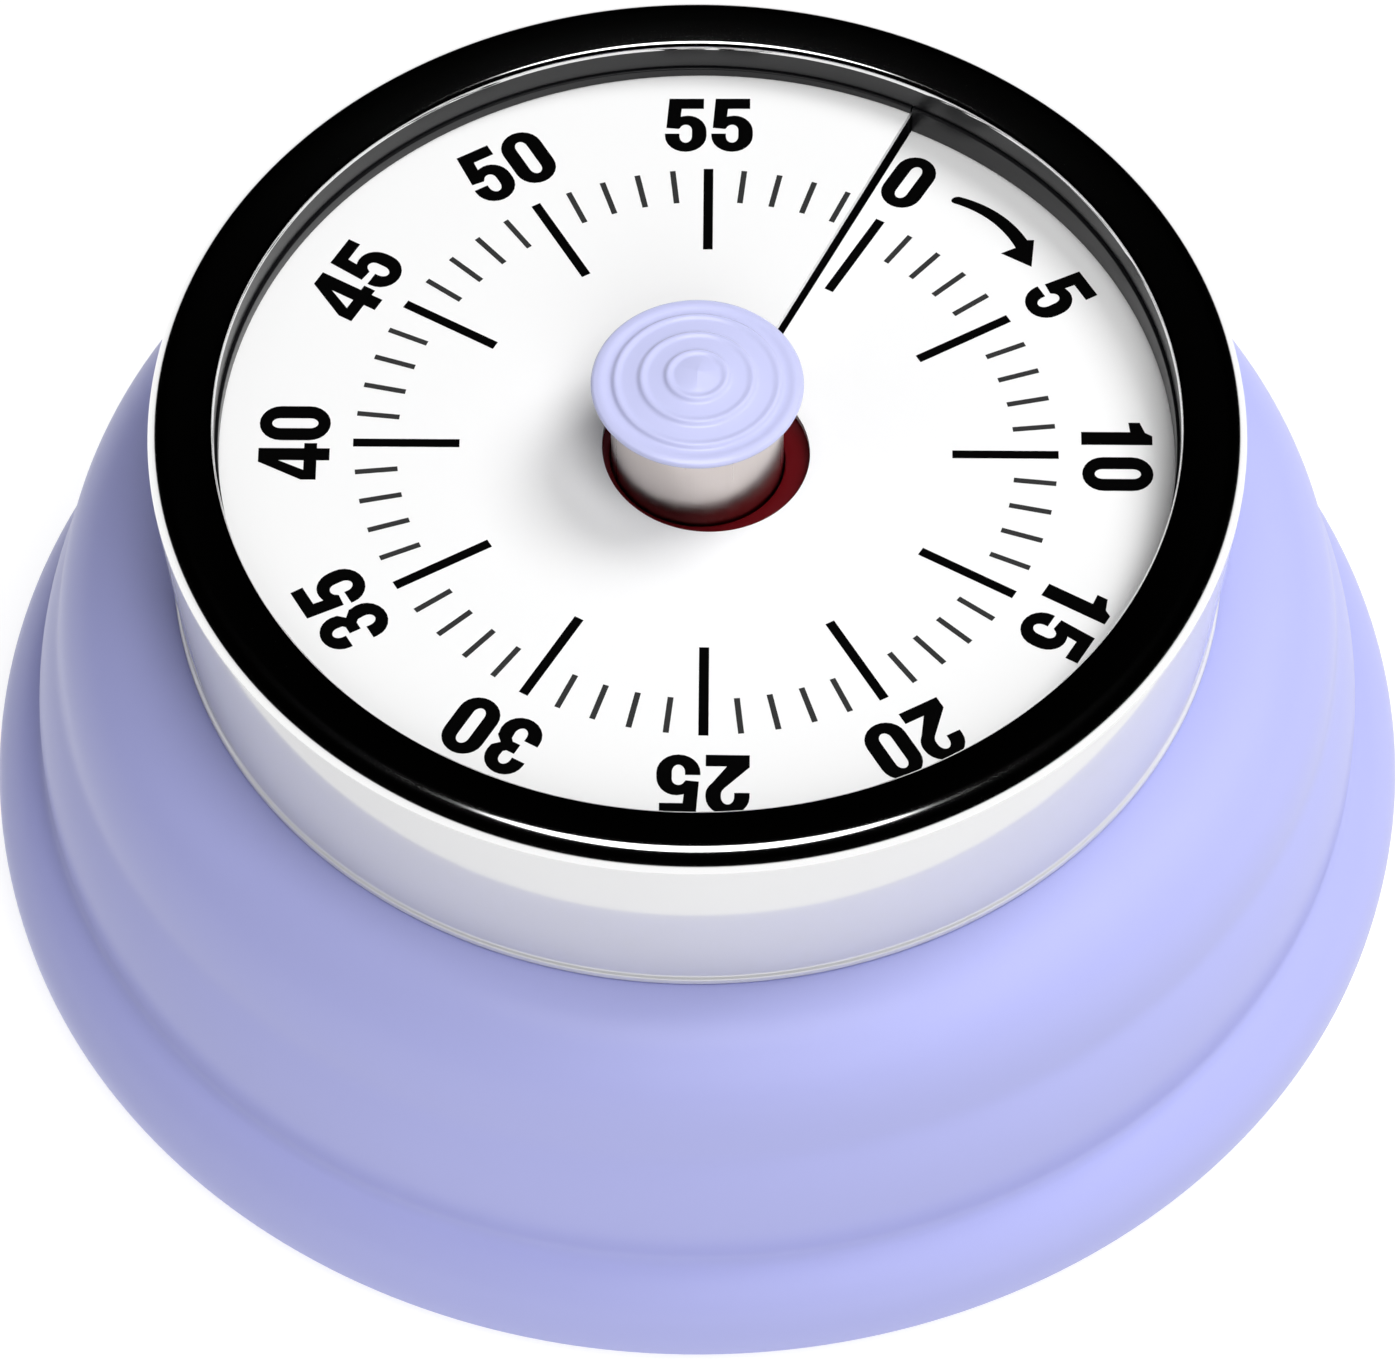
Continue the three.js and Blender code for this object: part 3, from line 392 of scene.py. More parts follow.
class Tree:
    """A Geometry Nodes tree that is built in code and baked to a plain mesh."""

    def __init__(self, name: str, **inputs: float) -> None:
        """Starts a tree.

        Args:
            name: the tree's name.
            inputs: the named sizes it takes, with their values.
        """
        self.group = bpy.data.node_groups.new(name, "GeometryNodeTree")
        self.values = inputs
        for title, value in inputs.items():
            kind = "NodeSocketInt" if isinstance(value, int) else "NodeSocketFloat"
            self.group.interface.new_socket(title, in_out="INPUT", socket_type=kind)
        self.group.interface.new_socket("Geometry", in_out="OUTPUT", socket_type="NodeSocketGeometry")
        self.given = self.group.nodes.new("NodeGroupInput").outputs

    def node(self, kind: str, links: dict | None = None, **settings: object) -> bpy.types.Node:
        """Adds a node.

        Args:
            kind: the node's type name.
            links: for each input, by name or number, a socket to link or a value to set.
            settings: properties of the node.

        Returns:
            The node.
        """
        made = self.group.nodes.new(kind)
        for key, value in settings.items():
            setattr(made, key, value)
        for key, value in (links or {}).items():
            if isinstance(value, bpy.types.NodeSocket):
                self.group.links.new(value, made.inputs[key])
            else:
                made.inputs[key].default_value = value
        return made

    def math(self, operation: str, first: object, second: object = 0.0,
             third: object = 0.0) -> bpy.types.NodeSocket:
        """Adds one step of arithmetic and returns its result socket."""
        return self.node("ShaderNodeMath", {0: first, 1: second, 2: third}, operation=operation).outputs[0]

    def bake(self, geometry: bpy.types.NodeSocket, finish: Finish, name: str) -> bpy.types.Mesh:
        """Ends the tree, runs it once and takes the result as a plain mesh.

        Args:
            geometry: the socket that carries the finished geometry.
            finish: its finish.
            name: the mesh's name.

        Returns:
            The plain mesh, in metres.
        """
        real = self.node("GeometryNodeRealizeInstances", {"Geometry": geometry})
        dressed = self.node("GeometryNodeSetMaterial",
                            {"Geometry": real.outputs[0], "Material": finish.material()})
        self.node("NodeGroupOutput", {"Geometry": dressed.outputs[0]})
        holder = bpy.data.objects.new(name, bpy.data.meshes.new(name))
        bpy.context.scene.collection.objects.link(holder)
        modifier = holder.modifiers.new(self.group.name, "NODES")
        modifier.node_group = self.group
        for item in self.group.interface.items_tree:
            if item.in_out == "INPUT":
                modifier[item.identifier] = self.values[item.name]
        bpy.context.view_layer.update()
        solid = holder.evaluated_get(bpy.context.evaluated_depsgraph_get())
        mesh = bpy.data.meshes.new_from_object(solid)
        holder.modifiers.remove(modifier)
        bpy.data.objects.remove(holder)
        mesh.name = name
        return mesh


# ---------------------------------------------------------------- the spiral that the dial follows


@dataclass(frozen=True)
class Spiral:
    """One turn of a ramp that climbs clockwise from a slit.

    Args:
        low: height of the dial's face where the ramp starts.
        climb: height gained in the turn.
        slit_angle: where the slit lies, in degrees from +X towards +Y.
    """

    low: float = 25.47
    climb: float = 1.25
    slit_angle: float = 93

    def turn(self, x: float, y: float) -> float:
        """Share of a turn clockwise from the slit."""
        return (math.radians(self.slit_angle) - math.atan2(y, x)) / TAU % 1

    def face(self, turn: float) -> float:
        """Height of the dial's face after a share of a turn."""
        return self.low + self.climb * turn

    def sheet(self, name: str, finish: Finish, inner: float, outer: float, top_drop: float,
              thickness: float, slit: float) -> bpy.types.Mesh:
        """A thin sheet that follows the ramp, made by a Geometry Nodes tree.

        Args:
            name: the mesh's name.
            finish: its finish.
            inner: inner radius.
            outer: outer radius.
            top_drop: how far its top lies below the dial's face.
            thickness: its thickness.
            slit: width of its slit.

        Returns:
            The closed mesh, in metres.
        """
        tree = Tree(f"{name}_sheet", Steps=361, Rings=13, Inner=inner * MM, Outer=outer * MM,
                    Low=(self.low - top_drop) * MM, Climb=self.climb * MM, Thickness=thickness * MM,
                    Start=math.radians(self.slit_angle), HalfSlit=math.asin(slit / 2 / outer))
        given = tree.given
        grid = tree.node("GeometryNodeMeshGrid", {"Size X": 1.0, "Size Y": 1.0,
                                                  "Vertices X": given["Steps"], "Vertices Y": given["Rings"]})
        position = tree.node("GeometryNodeInputPosition").outputs[0]
        place_in_grid = tree.node("ShaderNodeSeparateXYZ", {0: position})
        along = tree.math("ADD", place_in_grid.outputs["X"], 0.5)
        across = tree.math("ADD", place_in_grid.outputs["Y"], 0.5)
        radius = tree.math("MULTIPLY_ADD", across, tree.math("SUBTRACT", given["Outer"], given["Inner"]),
                           given["Inner"])
        sweep = tree.math("MULTIPLY_ADD", given["HalfSlit"], -2.0, TAU)
        passed = tree.math("MULTIPLY_ADD", along, sweep, given["HalfSlit"])
        angle = tree.math("SUBTRACT", given["Start"], passed)
        rise = tree.math("MULTIPLY", tree.math("DIVIDE", passed, TAU), given["Climb"])
        spot = tree.node("ShaderNodeCombineXYZ", {
            "X": tree.math("MULTIPLY", radius, tree.math("COSINE", angle)),
            "Y": tree.math("MULTIPLY", radius, tree.math("SINE", angle)),
            "Z": tree.math("ADD", given["Low"], rise),
        })
        face = tree.node("GeometryNodeSetPosition", {"Geometry": grid.outputs["Mesh"],
                                                     "Position": spot.outputs[0]})
        down = tree.node("ShaderNodeCombineXYZ", {"Z": tree.math("MULTIPLY", given["Thickness"], -1.0)})
        walls = tree.node("GeometryNodeExtrudeMesh", {"Mesh": face.outputs[0], "Offset": down.outputs[0],
                                                      "Individual": False})
        whole = tree.node("GeometryNodeJoinGeometry")
        tree.group.links.new(face.outputs[0], whole.inputs[0])
        tree.group.links.new(walls.outputs["Mesh"], whole.inputs[0])
        welded = tree.node("GeometryNodeMergeByDistance", {"Geometry": whole.outputs[0], "Distance": 1e-7})
        return tidy_normals(tree.bake(welded.outputs[0], finish, name))

    def ring(self, name: str, inner: float, outer: float, bottom: Callable[[float], float],
             top: Callable[[float], float], gap: float = 0.1, steps: int = 240) -> bpy.types.Mesh:
        """A slit ring whose underside and top each follow a rule of the turn.

        Args:
            name: the mesh's name.
            inner: inner radius.
            outer: outer radius.
            bottom: height of the underside for a share of a turn.
            top: height of the top for a share of a turn.
            gap: width of the slit.
            steps: pieces round the ring.

        Returns:
            The closed mesh, in metres.
        """
        half = math.asin(gap / 2 / outer)
        corners, faces = [], []
        for i in range(steps + 1):
            passed = half + (TAU - 2 * half) * i / steps
            angle = math.radians(self.slit_angle) - passed
            low, high = bottom(passed / TAU), top(passed / TAU)
            ease = min(0.08, (high - low) / 4)
            section = eased([(inner, low, 0), (outer, low, 0), (outer, high, 0), (inner, high, ease)], 3)
            corners += [(r * math.cos(angle), r * math.sin(angle), z) for r, z in section]
        count = len(corners) // (steps + 1)
        for i in range(steps):
            for k in range(count):
                n = (k + 1) % count
                faces.append((i * count + k, (i + 1) * count + k, (i + 1) * count + n, i * count + n))
        faces.append(tuple(range(count)))
        faces.append(tuple(steps * count + k for k in range(count)))
        return closed_mesh(name, corners, faces)


SPIRAL = Spiral()


# ---------------------------------------------------------------- case


@dataclass
class Case:
    """The rippled housing and the polished band round the dial."""

    base_radius: float = 35
    rim_height: float = 0.6
    rim_bottom: float = 0.4
    low_crease: Point = (32.5, 5.3)
    high_crease: Point = (31.4, 12.25)
    shoulder: Point = (25.4, 18)
    bulges: tuple[float, float, float] = (1.02, 0.6, 2.15)
    wall: float = 0.8
    wall_down: float = 0.6
    rim_round: float = 0.25
    rim_lift: float = 0.05
    neck_radius: float = 24.75
    neck_wall: float = 0.9
    neck_top: float = 22
    crease_ease: int = 3
    band_foot: float = 25.3
    band_top_radius: float = 26.13
    band_bottom: float = 18.05
    band_top: float = 29.05
    band_inner: float = 22.98
    band_wall: float = 0.45
    band_roll: float = 1.1
    band_inner_drop: float = 0.3
    bead: float = 0.15
    bead_height: float = 0.32
    bead_fade: float = 0.5
    hem_wall: float = 0.4
    hem_depth: float = 1.55
    hem_bright: float = 0.45

    def build(self) -> None:
        """Builds the housing and the band."""
        self.housing()
        self.band()

    def outer_curve(self) -> list[Point]:
        """The rippled outline from the base rim up to the shoulder, its creases softened.

        Returns:
            Radius and height of each point.
        """
        low, middle, high = self.bulges
        base = (self.base_radius, self.rim_height)
        line = bulge(base, self.low_crease, low)[:-1]
        line += bulge(self.low_crease, self.high_crease, middle)[:-1]
        line += bulge(self.high_crease, self.shoulder, high, 36)
        for _ in range(self.crease_ease):
            middle_points = [
                ((a[0] + 2 * b[0] + c[0]) / 4, (a[1] + 2 * b[1] + c[1]) / 4)
                for a, b, c in zip(line, line[1:], line[2:])
            ]
            line = [line[0], *middle_points, line[-1]]
        return line

    def housing(self) -> None:
        """The lacquered shell: ripples outside, a thinner wall inside, a neck under the band."""
        inner_neck = self.neck_radius - self.neck_wall
        inner_base = (self.base_radius - self.wall, self.rim_bottom)
        inner_low = (self.low_crease[0] - self.wall, self.low_crease[1] - self.wall_down)
        inner_high = (self.high_crease[0] - self.wall, self.high_crease[1] - self.wall_down)
        inner_shoulder = (inner_neck, self.shoulder[1] - self.wall_down)
        rim_centre = (self.base_radius - self.rim_round, self.rim_height + self.rim_lift)
        rim = arc(rim_centre, (self.rim_round, self.rim_round), -90, -10, 5)
        profile = [inner_base, *rim, *self.outer_curve()[:-1]]
        profile += eased([
            (self.shoulder[0], self.shoulder[1] - 0.02, 0), (self.neck_radius, self.shoulder[1], 0),
            (self.neck_radius, self.neck_top, 0.15), (inner_neck, self.neck_top, 0.15),
        ])
        low, middle, high = self.bulges
        inside = bulge(inner_base, inner_low, low, 10)[1:-1]
        inside += bulge(inner_low, inner_high, middle, 8)[:-1]
        inside += bulge(inner_high, inner_shoulder, high, 14)
        profile += reversed(inside)
        mesh = revolve("housing_shell", profile, 256, sharp_degrees=50)
        place("housing_shell", mesh, LACQUER, "case", ["housing"])

    def band(self) -> None:
        """The polished band: a beaded foot, a steep wall, a rolled top edge and a turned-in hem whose lower
        wall is painted black as painted shade.
        """
        foot, top = self.band_foot, self.band_top
        lip, hem = self.band_inner, self.band_inner + self.hem_wall
        inner_top = top - self.band_inner_drop
        roll_centre = (self.band_top_radius - self.band_roll, top - self.band_roll)
        roll = arc(roll_centre, (self.band_roll, self.band_roll), 0, 90, 24)
        profile = eased([
            (foot - self.band_wall, self.band_bottom, 0.05),
            (foot + self.bead, self.band_bottom, 0.1),
            (foot + self.bead, self.band_bottom + self.bead_height, 0.1),
            (foot, self.band_bottom + self.bead_fade, 0.15),
            *[(radius, height, 0) for radius, height in roll],
            (lip, inner_top, 0.3),
            (lip, inner_top - self.hem_depth, 0.05),
            (hem, inner_top - self.hem_depth, 0.05),
            (hem, inner_top - self.band_wall, 0.1),
            (self.band_top_radius - self.band_wall, top - self.band_wall, 0.2),
        ], 10)
        mesh = revolve("bezel_band", profile, 256, sharp_degrees=60)
        band = place("bezel_band", mesh, POLISHED, "case", ["bezel"])
        dress(band, BAND_STEEL, lambda radius, z: radius > foot - 0.1 and z < top - self.band_roll * 0.9)
        # The steel hem's inner wall below its top hem_bright millimetres is painted black as painted shade,
        # in place of the dial's reflection that the steel would show.
        dress(band, BLACK_PLASTIC_AND_HEM_SHADE, lambda radius, z: radius < lip + 0.1 and z < inner_top - self.hem_bright)


# ---------------------------------------------------------------- dial


class Glyph:
    """Outlines of the dial's figures in a box one high; the second loop, if any, is a hole."""

    WIDTH = 0.6
    ZERO = [
        arc((0.3, 0.7), (0.3, 0.3), 0, 180) + arc((0.3, 0.3), (0.3, 0.3), 180, 360),
        arc((0.3, 0.71), (0.088, 0.115), 0, 180) + arc((0.3, 0.29), (0.088, 0.115), 180, 360),
    ]
    ONE = [[(0.22, 0), (0.45, 0), (0.45, 1), (0.29, 1), (0.23, 0.9), (0.05, 0.83), (0.05, 0.67),
            (0.22, 0.69)]]
    TWO = [
        [(0.0, 0), (0.6, 0), (0.6, 0.19), (0.31, 0.19)]
        + arc((0.2, 0.66), (0.4, 0.3), -38, 0, 6)
        + arc((0.3, 0.7), (0.3, 0.3), 0, 180)
        + [(0.0, 0.63), (0.21, 0.63)]
        + arc((0.3, 0.7), (0.09, 0.125), 180, 0)
        + arc((0.18, 0.66), (0.21, 0.17), 0, -38, 5)
        + [(0.0, 0.2)],
    ]
    THREE = [
        [(0.01, 0.67)]
        + arc((0.295, 0.715), (0.285, 0.285), 180, 0)
        + [(0.57, 0.62), (0.48, 0.525), (0.58, 0.43)]
        + arc((0.3, 0.295), (0.3, 0.295), 20, -180)
        + [(0.0, 0.35), (0.21, 0.35)]
        + arc((0.3, 0.29), (0.09, 0.12), 180, 360)
        + [(0.38, 0.39), (0.34, 0.435), (0.22, 0.435), (0.22, 0.605), (0.34, 0.605), (0.375, 0.64)]
        + arc((0.295, 0.72), (0.085, 0.11), 0, 180)
        + [(0.21, 0.67)],
    ]
    FOUR = [
        [(0.32, 0), (0.53, 0), (0.53, 0.18), (0.62, 0.18), (0.62, 0.36), (0.53, 0.36), (0.53, 1), (0.29, 1),
         (-0.02, 0.39), (-0.02, 0.18), (0.32, 0.18)],
        [(0.32, 0.36), (0.15, 0.36), (0.32, 0.72)],
    ]
    FIVE = [
        [(0.06, 1), (0.56, 1), (0.56, 0.81), (0.24, 0.81), (0.225, 0.66)]
        + arc((0.33, 0.38), (0.27, 0.3), 105, 0, 8)
        + arc((0.3, 0.3), (0.3, 0.3), 0, -180)
        + [(0.0, 0.34), (0.21, 0.34)]
        + arc((0.3, 0.29), (0.09, 0.12), 180, 360)
        + arc((0.3, 0.41), (0.09, 0.1), 0, 155, 8)
        + [(0.2, 0.43), (0.02, 0.45)],
    ]
    SHAPES = {"0": ZERO, "1": ONE, "2": TWO, "3": THREE, "4": FOUR, "5": FIVE}


@dataclass
class Dial:
    """The spiral dial with its print, a hair off the knob's axis, and the black rings that hold its edge."""

    spiral: Spiral = Spiral(slit_angle=94)
    offset: Point = (0.36, 0.21)
    hub_hole: float = 4.97
    edge: float = 23.4
    thickness: float = 0.35
    slit: float = 0.15
    ring_inner: float = 22.68
    opening: float = 22.83
    wall_radius: float = 24.75
    frame_bottom: float = 22.05
    floor_thickness: float = 0.8
    floor_hole: float = 2.1
    retainer_top: float = 27.15
    seat: float = 0.05
    ink_height: float = 0.012
    ink_foot: float = 0.003
    major: tuple[float, float, float] = (11.77, 16.85, 0.47)
    minor: tuple[float, float, float] = (14.76, 16.8, 0.28)
    figure_height: float = 3.4
    figure_width: float = 3.4
    figure_gap: float = 0.24
    figure_radius: float = 19.65
    arrow: dict[str, float] = field(default_factory=lambda: {
        "crest": 20.4, "crest_angle": 14, "sag": 0.0087, "tail": 7.5, "neck": 19.4, "tip": 23.5,
        "tail_width": 0.5, "neck_width": 0.75, "head_out": 0.7, "head_in": 1.2, "head_lean": 0.6,
    })

    def build(self) -> None:
        """Builds the sheet, its print and its two holding rings."""
        sheet = self.spiral.sheet("dial_sheet", DIAL_WHITE, self.hub_hole, self.edge, 0, self.thickness,
                                  self.slit)
        self.settle(sheet)
        place("dial_sheet", sheet, DIAL_WHITE, "case", ["dial"])
        self.frame()
        retainer = SPIRAL.ring("dial_edge_ring", self.opening, self.wall_radius,
                               lambda turn: SPIRAL.face(turn) + self.seat, lambda turn: self.retainer_top)
        place("dial_edge_ring", retainer, BLACK_PLASTIC_AND_HEM_SHADE, "case", ["dial_retainer"])
        self.marks("minute_marks", INK_GREY, self.minor, False)
        self.marks("five_minute_marks", INK_BLACK, self.major, True)
        self.print("dial_figures", self.figure_outlines())
        self.print("dial_arrow", [self.arrow_outline()])

    def settle(self, mesh: bpy.types.Mesh) -> None:
        """Moves a mesh from the knob's axis to the dial's own centre."""
        mesh.transform(Matrix.Translation(Vector((*self.offset, 0)) * MM))

    def frame(self) -> None:
        """The black tray under the dial: a flat floor and a ledge that climbs with the dial."""
        floor_top = self.frame_bottom + self.floor_thickness
        floor = revolve("frame_floor", eased([
            (self.floor_hole, self.frame_bottom, 0.1), (self.wall_radius, self.frame_bottom, 0.1),
            (self.wall_radius, floor_top, 0), (self.floor_hole, floor_top, 0.1),
        ]), 128)
        place("frame_floor", floor, BLACK_PLASTIC_AND_HEM_SHADE, "case", ["dial_frame"])
        ledge = SPIRAL.ring("frame_ledge", self.ring_inner, self.wall_radius, lambda turn: floor_top,
                            lambda turn: SPIRAL.face(turn) - self.thickness - self.seat)
        place("frame_ledge", ledge, BLACK_PLASTIC_AND_HEM_SHADE, "case")

    def marks(self, name: str, finish: Finish, size: tuple[float, float, float], major: bool) -> None:
        """Sixty radial marks less those of the other kind, made by a Geometry Nodes tree.

        Args:
            name: the piece's name.
            finish: the ink.
            size: inner radius, outer radius and width.
            major: True for every fifth mark, False for those between.
        """
        inner, outer, width = size
        tree = Tree(name, Count=60, Every=5, Middle=(inner + outer) / 2 * MM, Length=(outer - inner) * MM,
                    Width=width * MM, Height=self.ink_height * 2 * MM, Low=self.spiral.low * MM,
                    Climb=self.spiral.climb * MM, Slit=math.radians(self.spiral.slit_angle) - math.pi / 2)
        given = tree.given
        points = tree.node("GeometryNodePoints", {"Count": given["Count"]})
        index = tree.node("GeometryNodeInputIndex").outputs[0]
        passed = tree.math("MULTIPLY", index, TAU / 60)
        angle = tree.math("SUBTRACT", math.pi / 2, passed)
        turn = tree.math("DIVIDE", tree.math("ADD", passed, given["Slit"]), TAU)
        spot = tree.node("ShaderNodeCombineXYZ", {
            "X": tree.math("MULTIPLY", given["Middle"], tree.math("COSINE", angle)),
            "Y": tree.math("MULTIPLY", given["Middle"], tree.math("SINE", angle)),
            "Z": tree.math("MULTIPLY_ADD", turn, given["Climb"], given["Low"]),
        })
        spread = tree.node("GeometryNodeSetPosition", {"Geometry": points.outputs[0],
                                                       "Position": spot.outputs[0]})
        fifth = tree.math("COMPARE", tree.math("MODULO", index, given["Every"]), 0.0, 0.5)
        chosen = fifth if major else tree.math("SUBTRACT", 1.0, fifth)
        size_box = tree.node("ShaderNodeCombineXYZ", {"X": given["Length"], "Y": given["Width"],
                                                      "Z": given["Height"]})
        bar = tree.node("GeometryNodeMeshCube", {"Size": size_box.outputs[0], "Vertices X": 6})
        facing = tree.node("ShaderNodeCombineXYZ", {"Z": angle})
        bars = tree.node("GeometryNodeInstanceOnPoints", {
            "Points": spread.outputs[0], "Selection": chosen, "Instance": bar.outputs["Mesh"],
            "Rotation": facing.outputs[0],
        })
        mesh = tree.bake(bars.outputs[0], finish, name)
        self.drape(mesh)
        self.settle(mesh)
        place(name, tidy_normals(mesh), finish, "case")

    def drape(self, mesh: bpy.types.Mesh) -> None:
        """Lays a thin flat print on the spiral face, keeping its thickness."""
        middle = sum(vertex.co.z for vertex in mesh.vertices) / len(mesh.vertices)
        for vertex in mesh.vertices:
            x, y, z = vertex.co / MM
            face = self.spiral.face(self.spiral.turn(x, y))
            above = z > face if abs(middle) > MM else z > 0
            vertex.co.z = (face + (self.ink_height if above else self.ink_foot)) * MM

    def on_dial(self, outline: Iterable[Point], minute: float, shift: float) -> list[Point]:
        """Sets an upright figure's outline on the dial, its top outwards.

        Args:
            outline: points in the figure's box.
            minute: which mark it stands at.
            shift: distance of the box's left side from the mark's line, in millimetres.

        Returns:
            The outline's points on the dial.
        """
        angle = minute * TAU / 60
        foot = self.figure_radius - self.figure_height / 2
        placed = []
        for u, v in outline:
            side, reach = shift + u * self.figure_width, foot + v * self.figure_height
            placed.append((reach * math.sin(angle) + side * math.cos(angle),
                           reach * math.cos(angle) - side * math.sin(angle)))
        return placed

    def figure_outlines(self) -> list[list[Point]]:
        """The outlines of 0, 5, 10 and so on up to 55.

        Returns:
            Each outline's points on the dial.
        """
        outlines = []
        width = Glyph.WIDTH * self.figure_width
        for minute in range(0, 60, 5):
            digits = str(minute)
            total = len(digits) * width + (len(digits) - 1) * self.figure_gap
            for i, digit in enumerate(digits):
                shift = i * (width + self.figure_gap) - total / 2
                outlines += [self.on_dial(loop, minute, shift) for loop in Glyph.SHAPES[digit]]
        return outlines

    def arrow_outline(self) -> list[Point]:
        """A curved arrow with a round tail that points clockwise from 0 towards 5.

        Returns:
            The arrow's points on the dial.
        """
        a = self.arrow
        steps = 16

        def on_arc(degrees: float, offset: float) -> Point:
            """The point at a clockwise angle, an offset outside the arrow's curved middle line."""
            reach = a["crest"] - a["sag"] * (degrees - a["crest_angle"]) ** 2 + offset
            return reach * math.sin(math.radians(degrees)), reach * math.cos(math.radians(degrees))

        def half_width(degrees: float) -> float:
            """Half the shaft's width at an angle."""
            share = (degrees - a["tail"]) / (a["neck"] - a["tail"])
            return (a["tail_width"] + share * (a["neck_width"] - a["tail_width"])) / 2

        angles = [a["tail"] + (a["neck"] - a["tail"]) * i / steps for i in range(steps + 1)]
        upper = [on_arc(t, half_width(t)) for t in angles]
        lower = [on_arc(t, -half_width(t)) for t in reversed(angles)]
        head = [on_arc(a["neck"] + a["head_lean"], a["head_out"]), on_arc(a["tip"], 0),
                on_arc(a["neck"] - a["head_lean"], -a["head_in"])]
        tail_turn = math.degrees(a["tail_width"] / 2 / a["crest"])
        tail = [on_arc(a["tail"] - tail_turn * math.sin(math.radians(t)), -math.cos(math.radians(t))
                       * a["tail_width"] / 2) for t in range(20, 180, 20)]
        return upper + head + lower + tail

    def print(self, name: str, outlines: list[list[Point]]) -> None:
        """Prints filled outlines on the dial in black ink.

        Args:
            name: the piece's name.
            outlines: closed loops on the dial; a loop inside another is a hole.
        """
        curve = bpy.data.curves.new(name, "CURVE")
        curve.dimensions, curve.fill_mode, curve.extrude = "2D", "BOTH", self.ink_height * MM
        for outline in outlines:
            spline = curve.splines.new("POLY")
            spline.points.add(len(outline) - 1)
            spline.use_cyclic_u = True
            for point, (x, y) in zip(spline.points, outline):
                point.co = (x * MM, y * MM, 0, 1)
        holder = bpy.data.objects.new(name, curve)
        bpy.context.scene.collection.objects.link(holder)
        bpy.context.view_layer.update()
        mesh = bpy.data.meshes.new_from_object(holder.evaluated_get(bpy.context.evaluated_depsgraph_get()))
        bpy.data.objects.remove(holder)
        self.drape(mesh)
        self.settle(mesh)
        place(name, tidy_normals(mesh), INK_BLACK, "case")


@dataclass
class Indicator:
    """The red disc that turns with the knob and comes out over the dial through the slit."""

    inner: float = 4.2
    outer: float = 22.38
    drop: float = 0.57
    thickness: float = 0.25
    sleeve_wall: float = 0.3
    sleeve_bottom: float = 24.05
    slit: float = 2.4

    def build(self) -> None:
        """Builds the sheet and the sleeve that slides on the knob's stem."""
        # Sheet and sleeve both take the red darkened as painted shade.
        sheet = SPIRAL.sheet("red_sheet", SHADED_DISC_RED, self.inner + self.sleeve_wall, self.outer, self.drop,
                             self.thickness, self.slit)
        place("red_sheet", sheet, SHADED_DISC_RED, "indicator", ["indicator_disc"])
        sleeve = SPIRAL.ring("red_sleeve", self.inner, self.inner + self.sleeve_wall,
                             lambda turn: self.sleeve_bottom, lambda turn: SPIRAL.face(turn) - self.drop)
        place("red_sleeve", sleeve, SHADED_DISC_RED, "indicator")


# ---------------------------------------------------------------- knob


@dataclass
class Knob:
    """The winding knob: a flared lacquered cap with raised rings on a satin steel stem."""

    cap_radius: float = 5.07
    cap_bottom: float = 30.65
    cap_top: float = 32
    stem_radius: float = 4.12
    stem_bottom: float = 23.4
    bore: float = 1.55
    ring_radii: tuple[float, ...] = (3.9, 2.66, 1.42)
    ring_step: float = 0.2
    ring_run: float = 0.2
    ring_width: float = 0.3
    ring_dip: float = 0.09
    stem_gap: float = 0.05

    def build(self) -> None:
        """Builds the cap and the stem."""
        rim = self.cap_top - (len(self.ring_radii) + 1) * self.ring_step
        steps = []
        for i, radius in enumerate(self.ring_radii):
            low, high = rim + i * self.ring_step, rim + (i + 1) * self.ring_step
            steps += [(radius + self.ring_run, low, 0.12), (radius, high, 0.16),
                      (radius - self.ring_width, high - self.ring_dip, 0.1)]
        profile = eased([
            (0.001, self.cap_bottom, 0), (self.stem_radius, self.cap_bottom, 0.1),
            (self.cap_radius - 0.2, self.cap_bottom + 0.12, 0.2),
            (self.cap_radius, self.cap_bottom + 0.38, 0.22),
            (self.cap_radius - 0.12, rim - 0.02, 0.2), (self.cap_radius - 0.45, rim + 0.06, 0.15),
            (self.cap_radius - 0.75, rim - 0.01, 0.1), *steps, (0.001, self.cap_top, 0),
        ], 6)
        cap = revolve("knob_crown", profile, 160, sharp_degrees=60)
        # The crown takes the lighter copy of the lavender paint: painted light from above.
        place("knob_crown", cap, LIT_CAP_LACQUER, "knob", ["knob_cap"])
        stem_top = self.cap_bottom - self.stem_gap
        stem = revolve("knob_post", eased([
            (self.bore, self.stem_bottom, 0.1), (self.stem_radius, self.stem_bottom, 0.15),
            (self.stem_radius, stem_top, 0.1), (self.bore, stem_top, 0.1),
        ]), 128)
        place("knob_post", stem, SATIN, "knob", ["knob_stem"])


# ---------------------------------------------------------------- stage


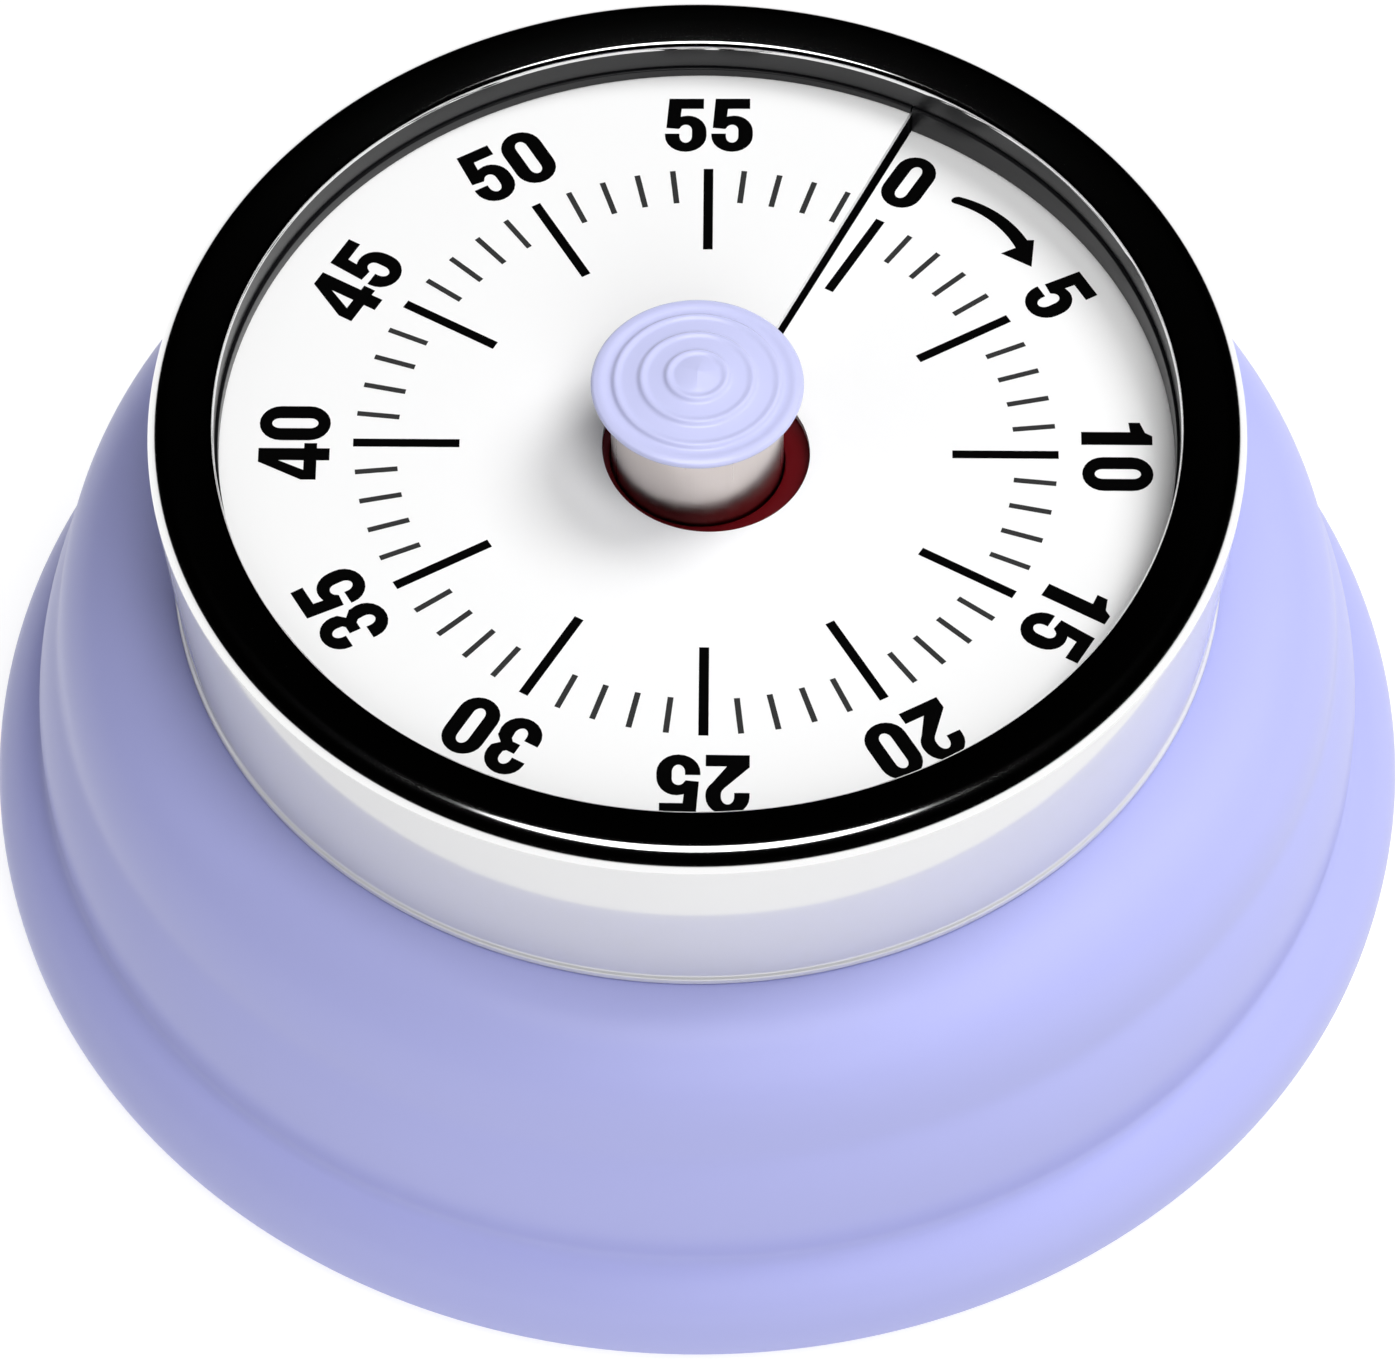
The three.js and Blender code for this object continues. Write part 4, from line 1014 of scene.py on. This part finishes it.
@dataclass
class Stage:
    """The floor, the lights and the camera."""

    azimuth: float = 30.45
    elevation: float = 53.95
    distance: float = 380.15
    look_at: tuple[float, float, float] = (0, 0, 7.283)
    side_step: float = -0.08
    lens: float = 196.8
    floor_half: float = 2000
    floor_drop: float = 0.02

    def build(self) -> None:
        """Builds everything round the object."""
        self.floor()
        self.sky()
        self.lamp("key", (0.55, 0.3, 0.85), 620, 300, 2.2)
        self.lamp("top", (0.25, -0.35, 1.0), 700, 300, 1.5)
        self.lamp("front", (0.15, -0.75, 0.6), 700, 400, 1.4)
        self.lamp("fill", (-0.75, -0.35, 0.7), 700, 500, 0.3)
        self.camera()

    def direction(self, right: float, away: float, up: float) -> Vector:
        """A direction given as seen from the camera's side of the object."""
        turn = math.radians(self.azimuth)
        across = Vector((math.cos(turn), math.sin(turn), 0))
        back = Vector((-math.sin(turn), math.cos(turn), 0))
        return (across * right + back * away + Vector((0, 0, up))).normalized()

    def floor(self) -> None:
        """A plain pale floor under the foot."""
        mesh = bpy.data.meshes.new("studio_floor")
        half, depth = self.floor_half * MM, -self.floor_drop * MM
        corners = [(-half, -half, depth), (half, -half, depth), (half, half, depth), (-half, half, depth)]
        mesh.from_pydata(corners, [], [(0, 1, 2, 3)])
        mesh.materials.append(FLOOR.material())
        sheet = bpy.data.objects.new("studio_floor", mesh)
        bpy.context.scene.collection.objects.link(sheet)

    def sky(self) -> None:
        """A white room with a dark ceiling band, so that polished metal has something to mirror."""
        world = bpy.data.worlds.new("studio")
        bpy.context.scene.world = world
        world.use_nodes = True
        nodes, links = world.node_tree.nodes, world.node_tree.links
        height = nodes.new("ShaderNodeSeparateXYZ")
        links.new(nodes.new("ShaderNodeTexCoord").outputs["Generated"], height.inputs[0])
        bands = nodes.new("ShaderNodeValToRGB")
        links.new(height.outputs["Z"], bands.inputs["Fac"])
        stops = [(0.0, 0.9), (0.04, 0.9), (0.08, 0.0), (0.965, 0.0), (0.975, 3.0), (1.0, 3.0)]
        ramp = bands.color_ramp
        while len(ramp.elements) < len(stops):
            ramp.elements.new(0.5)
        for element, (position, value) in zip(ramp.elements, stops):
            element.position = position
            element.color = (value, value, value, 1)
        links.new(bands.outputs["Color"], nodes["Background"].inputs["Color"])
        nodes["Background"].inputs["Strength"].default_value = 1.0

    def lamp(self, name: str, towards: tuple[float, float, float], reach: float, size: float,
             power: float) -> None:
        """A soft square lamp that polished metal does not mirror.

        Args:
            name: the lamp's name.
            towards: where it stands, as right, away and up from the camera's side.
            reach: its distance in millimetres.
            size: its side in millimetres.
            power: its power in watts.
        """
        light = bpy.data.lights.new(name, "AREA")
        light.size = size * MM
        light.energy = power
        lamp = bpy.data.objects.new(name, light)
        bpy.context.scene.collection.objects.link(lamp)
        lamp.location = self.direction(*towards) * reach * MM
        lamp.rotation_euler = lamp.location.to_track_quat("Z", "Y").to_euler()
        lamp.visible_glossy = False

    def camera(self) -> None:
        """The camera, a long lens high over the front of the timer."""
        lens = bpy.data.cameras.new("view")
        lens.lens = self.lens
        lens.sensor_width = 36
        lens.clip_end = 10
        camera = bpy.data.objects.new("view", lens)
        bpy.context.scene.collection.objects.link(camera)
        tilt, turn = math.radians(self.elevation), math.radians(self.azimuth)
        across = Vector((math.cos(turn), math.sin(turn), 0)) * self.side_step
        target = Vector(self.look_at) - across
        back = Vector((math.sin(turn) * math.cos(tilt), -math.cos(turn) * math.cos(tilt), math.sin(tilt)))
        camera.location = (target + back * self.distance) * MM
        camera.rotation_euler = back.to_track_quat("Z", "Y").to_euler()
        bpy.context.scene.camera = camera


def dress_solids() -> None:
    """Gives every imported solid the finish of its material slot."""
    for entry in frame["record"]["subparts"]:
        solid = frame["nodes"][entry["node"]]
        solid.data.materials.clear()
        solid.data.materials.append(SLOT_FINISH[entry["material_slot"]].material())


def main() -> None:
    """Builds the timer's visible pieces in order."""
    logging.basicConfig(level=logging.INFO, format="%(name)s %(message)s")
    bpy.context.scene.view_settings.view_transform = "Standard"
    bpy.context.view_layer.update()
    dress_solids()
    Case().build()
    Dial().build()
    Indicator().build()
    Knob().build()
    Stage().build()


if __name__ == "__main__":
    main()
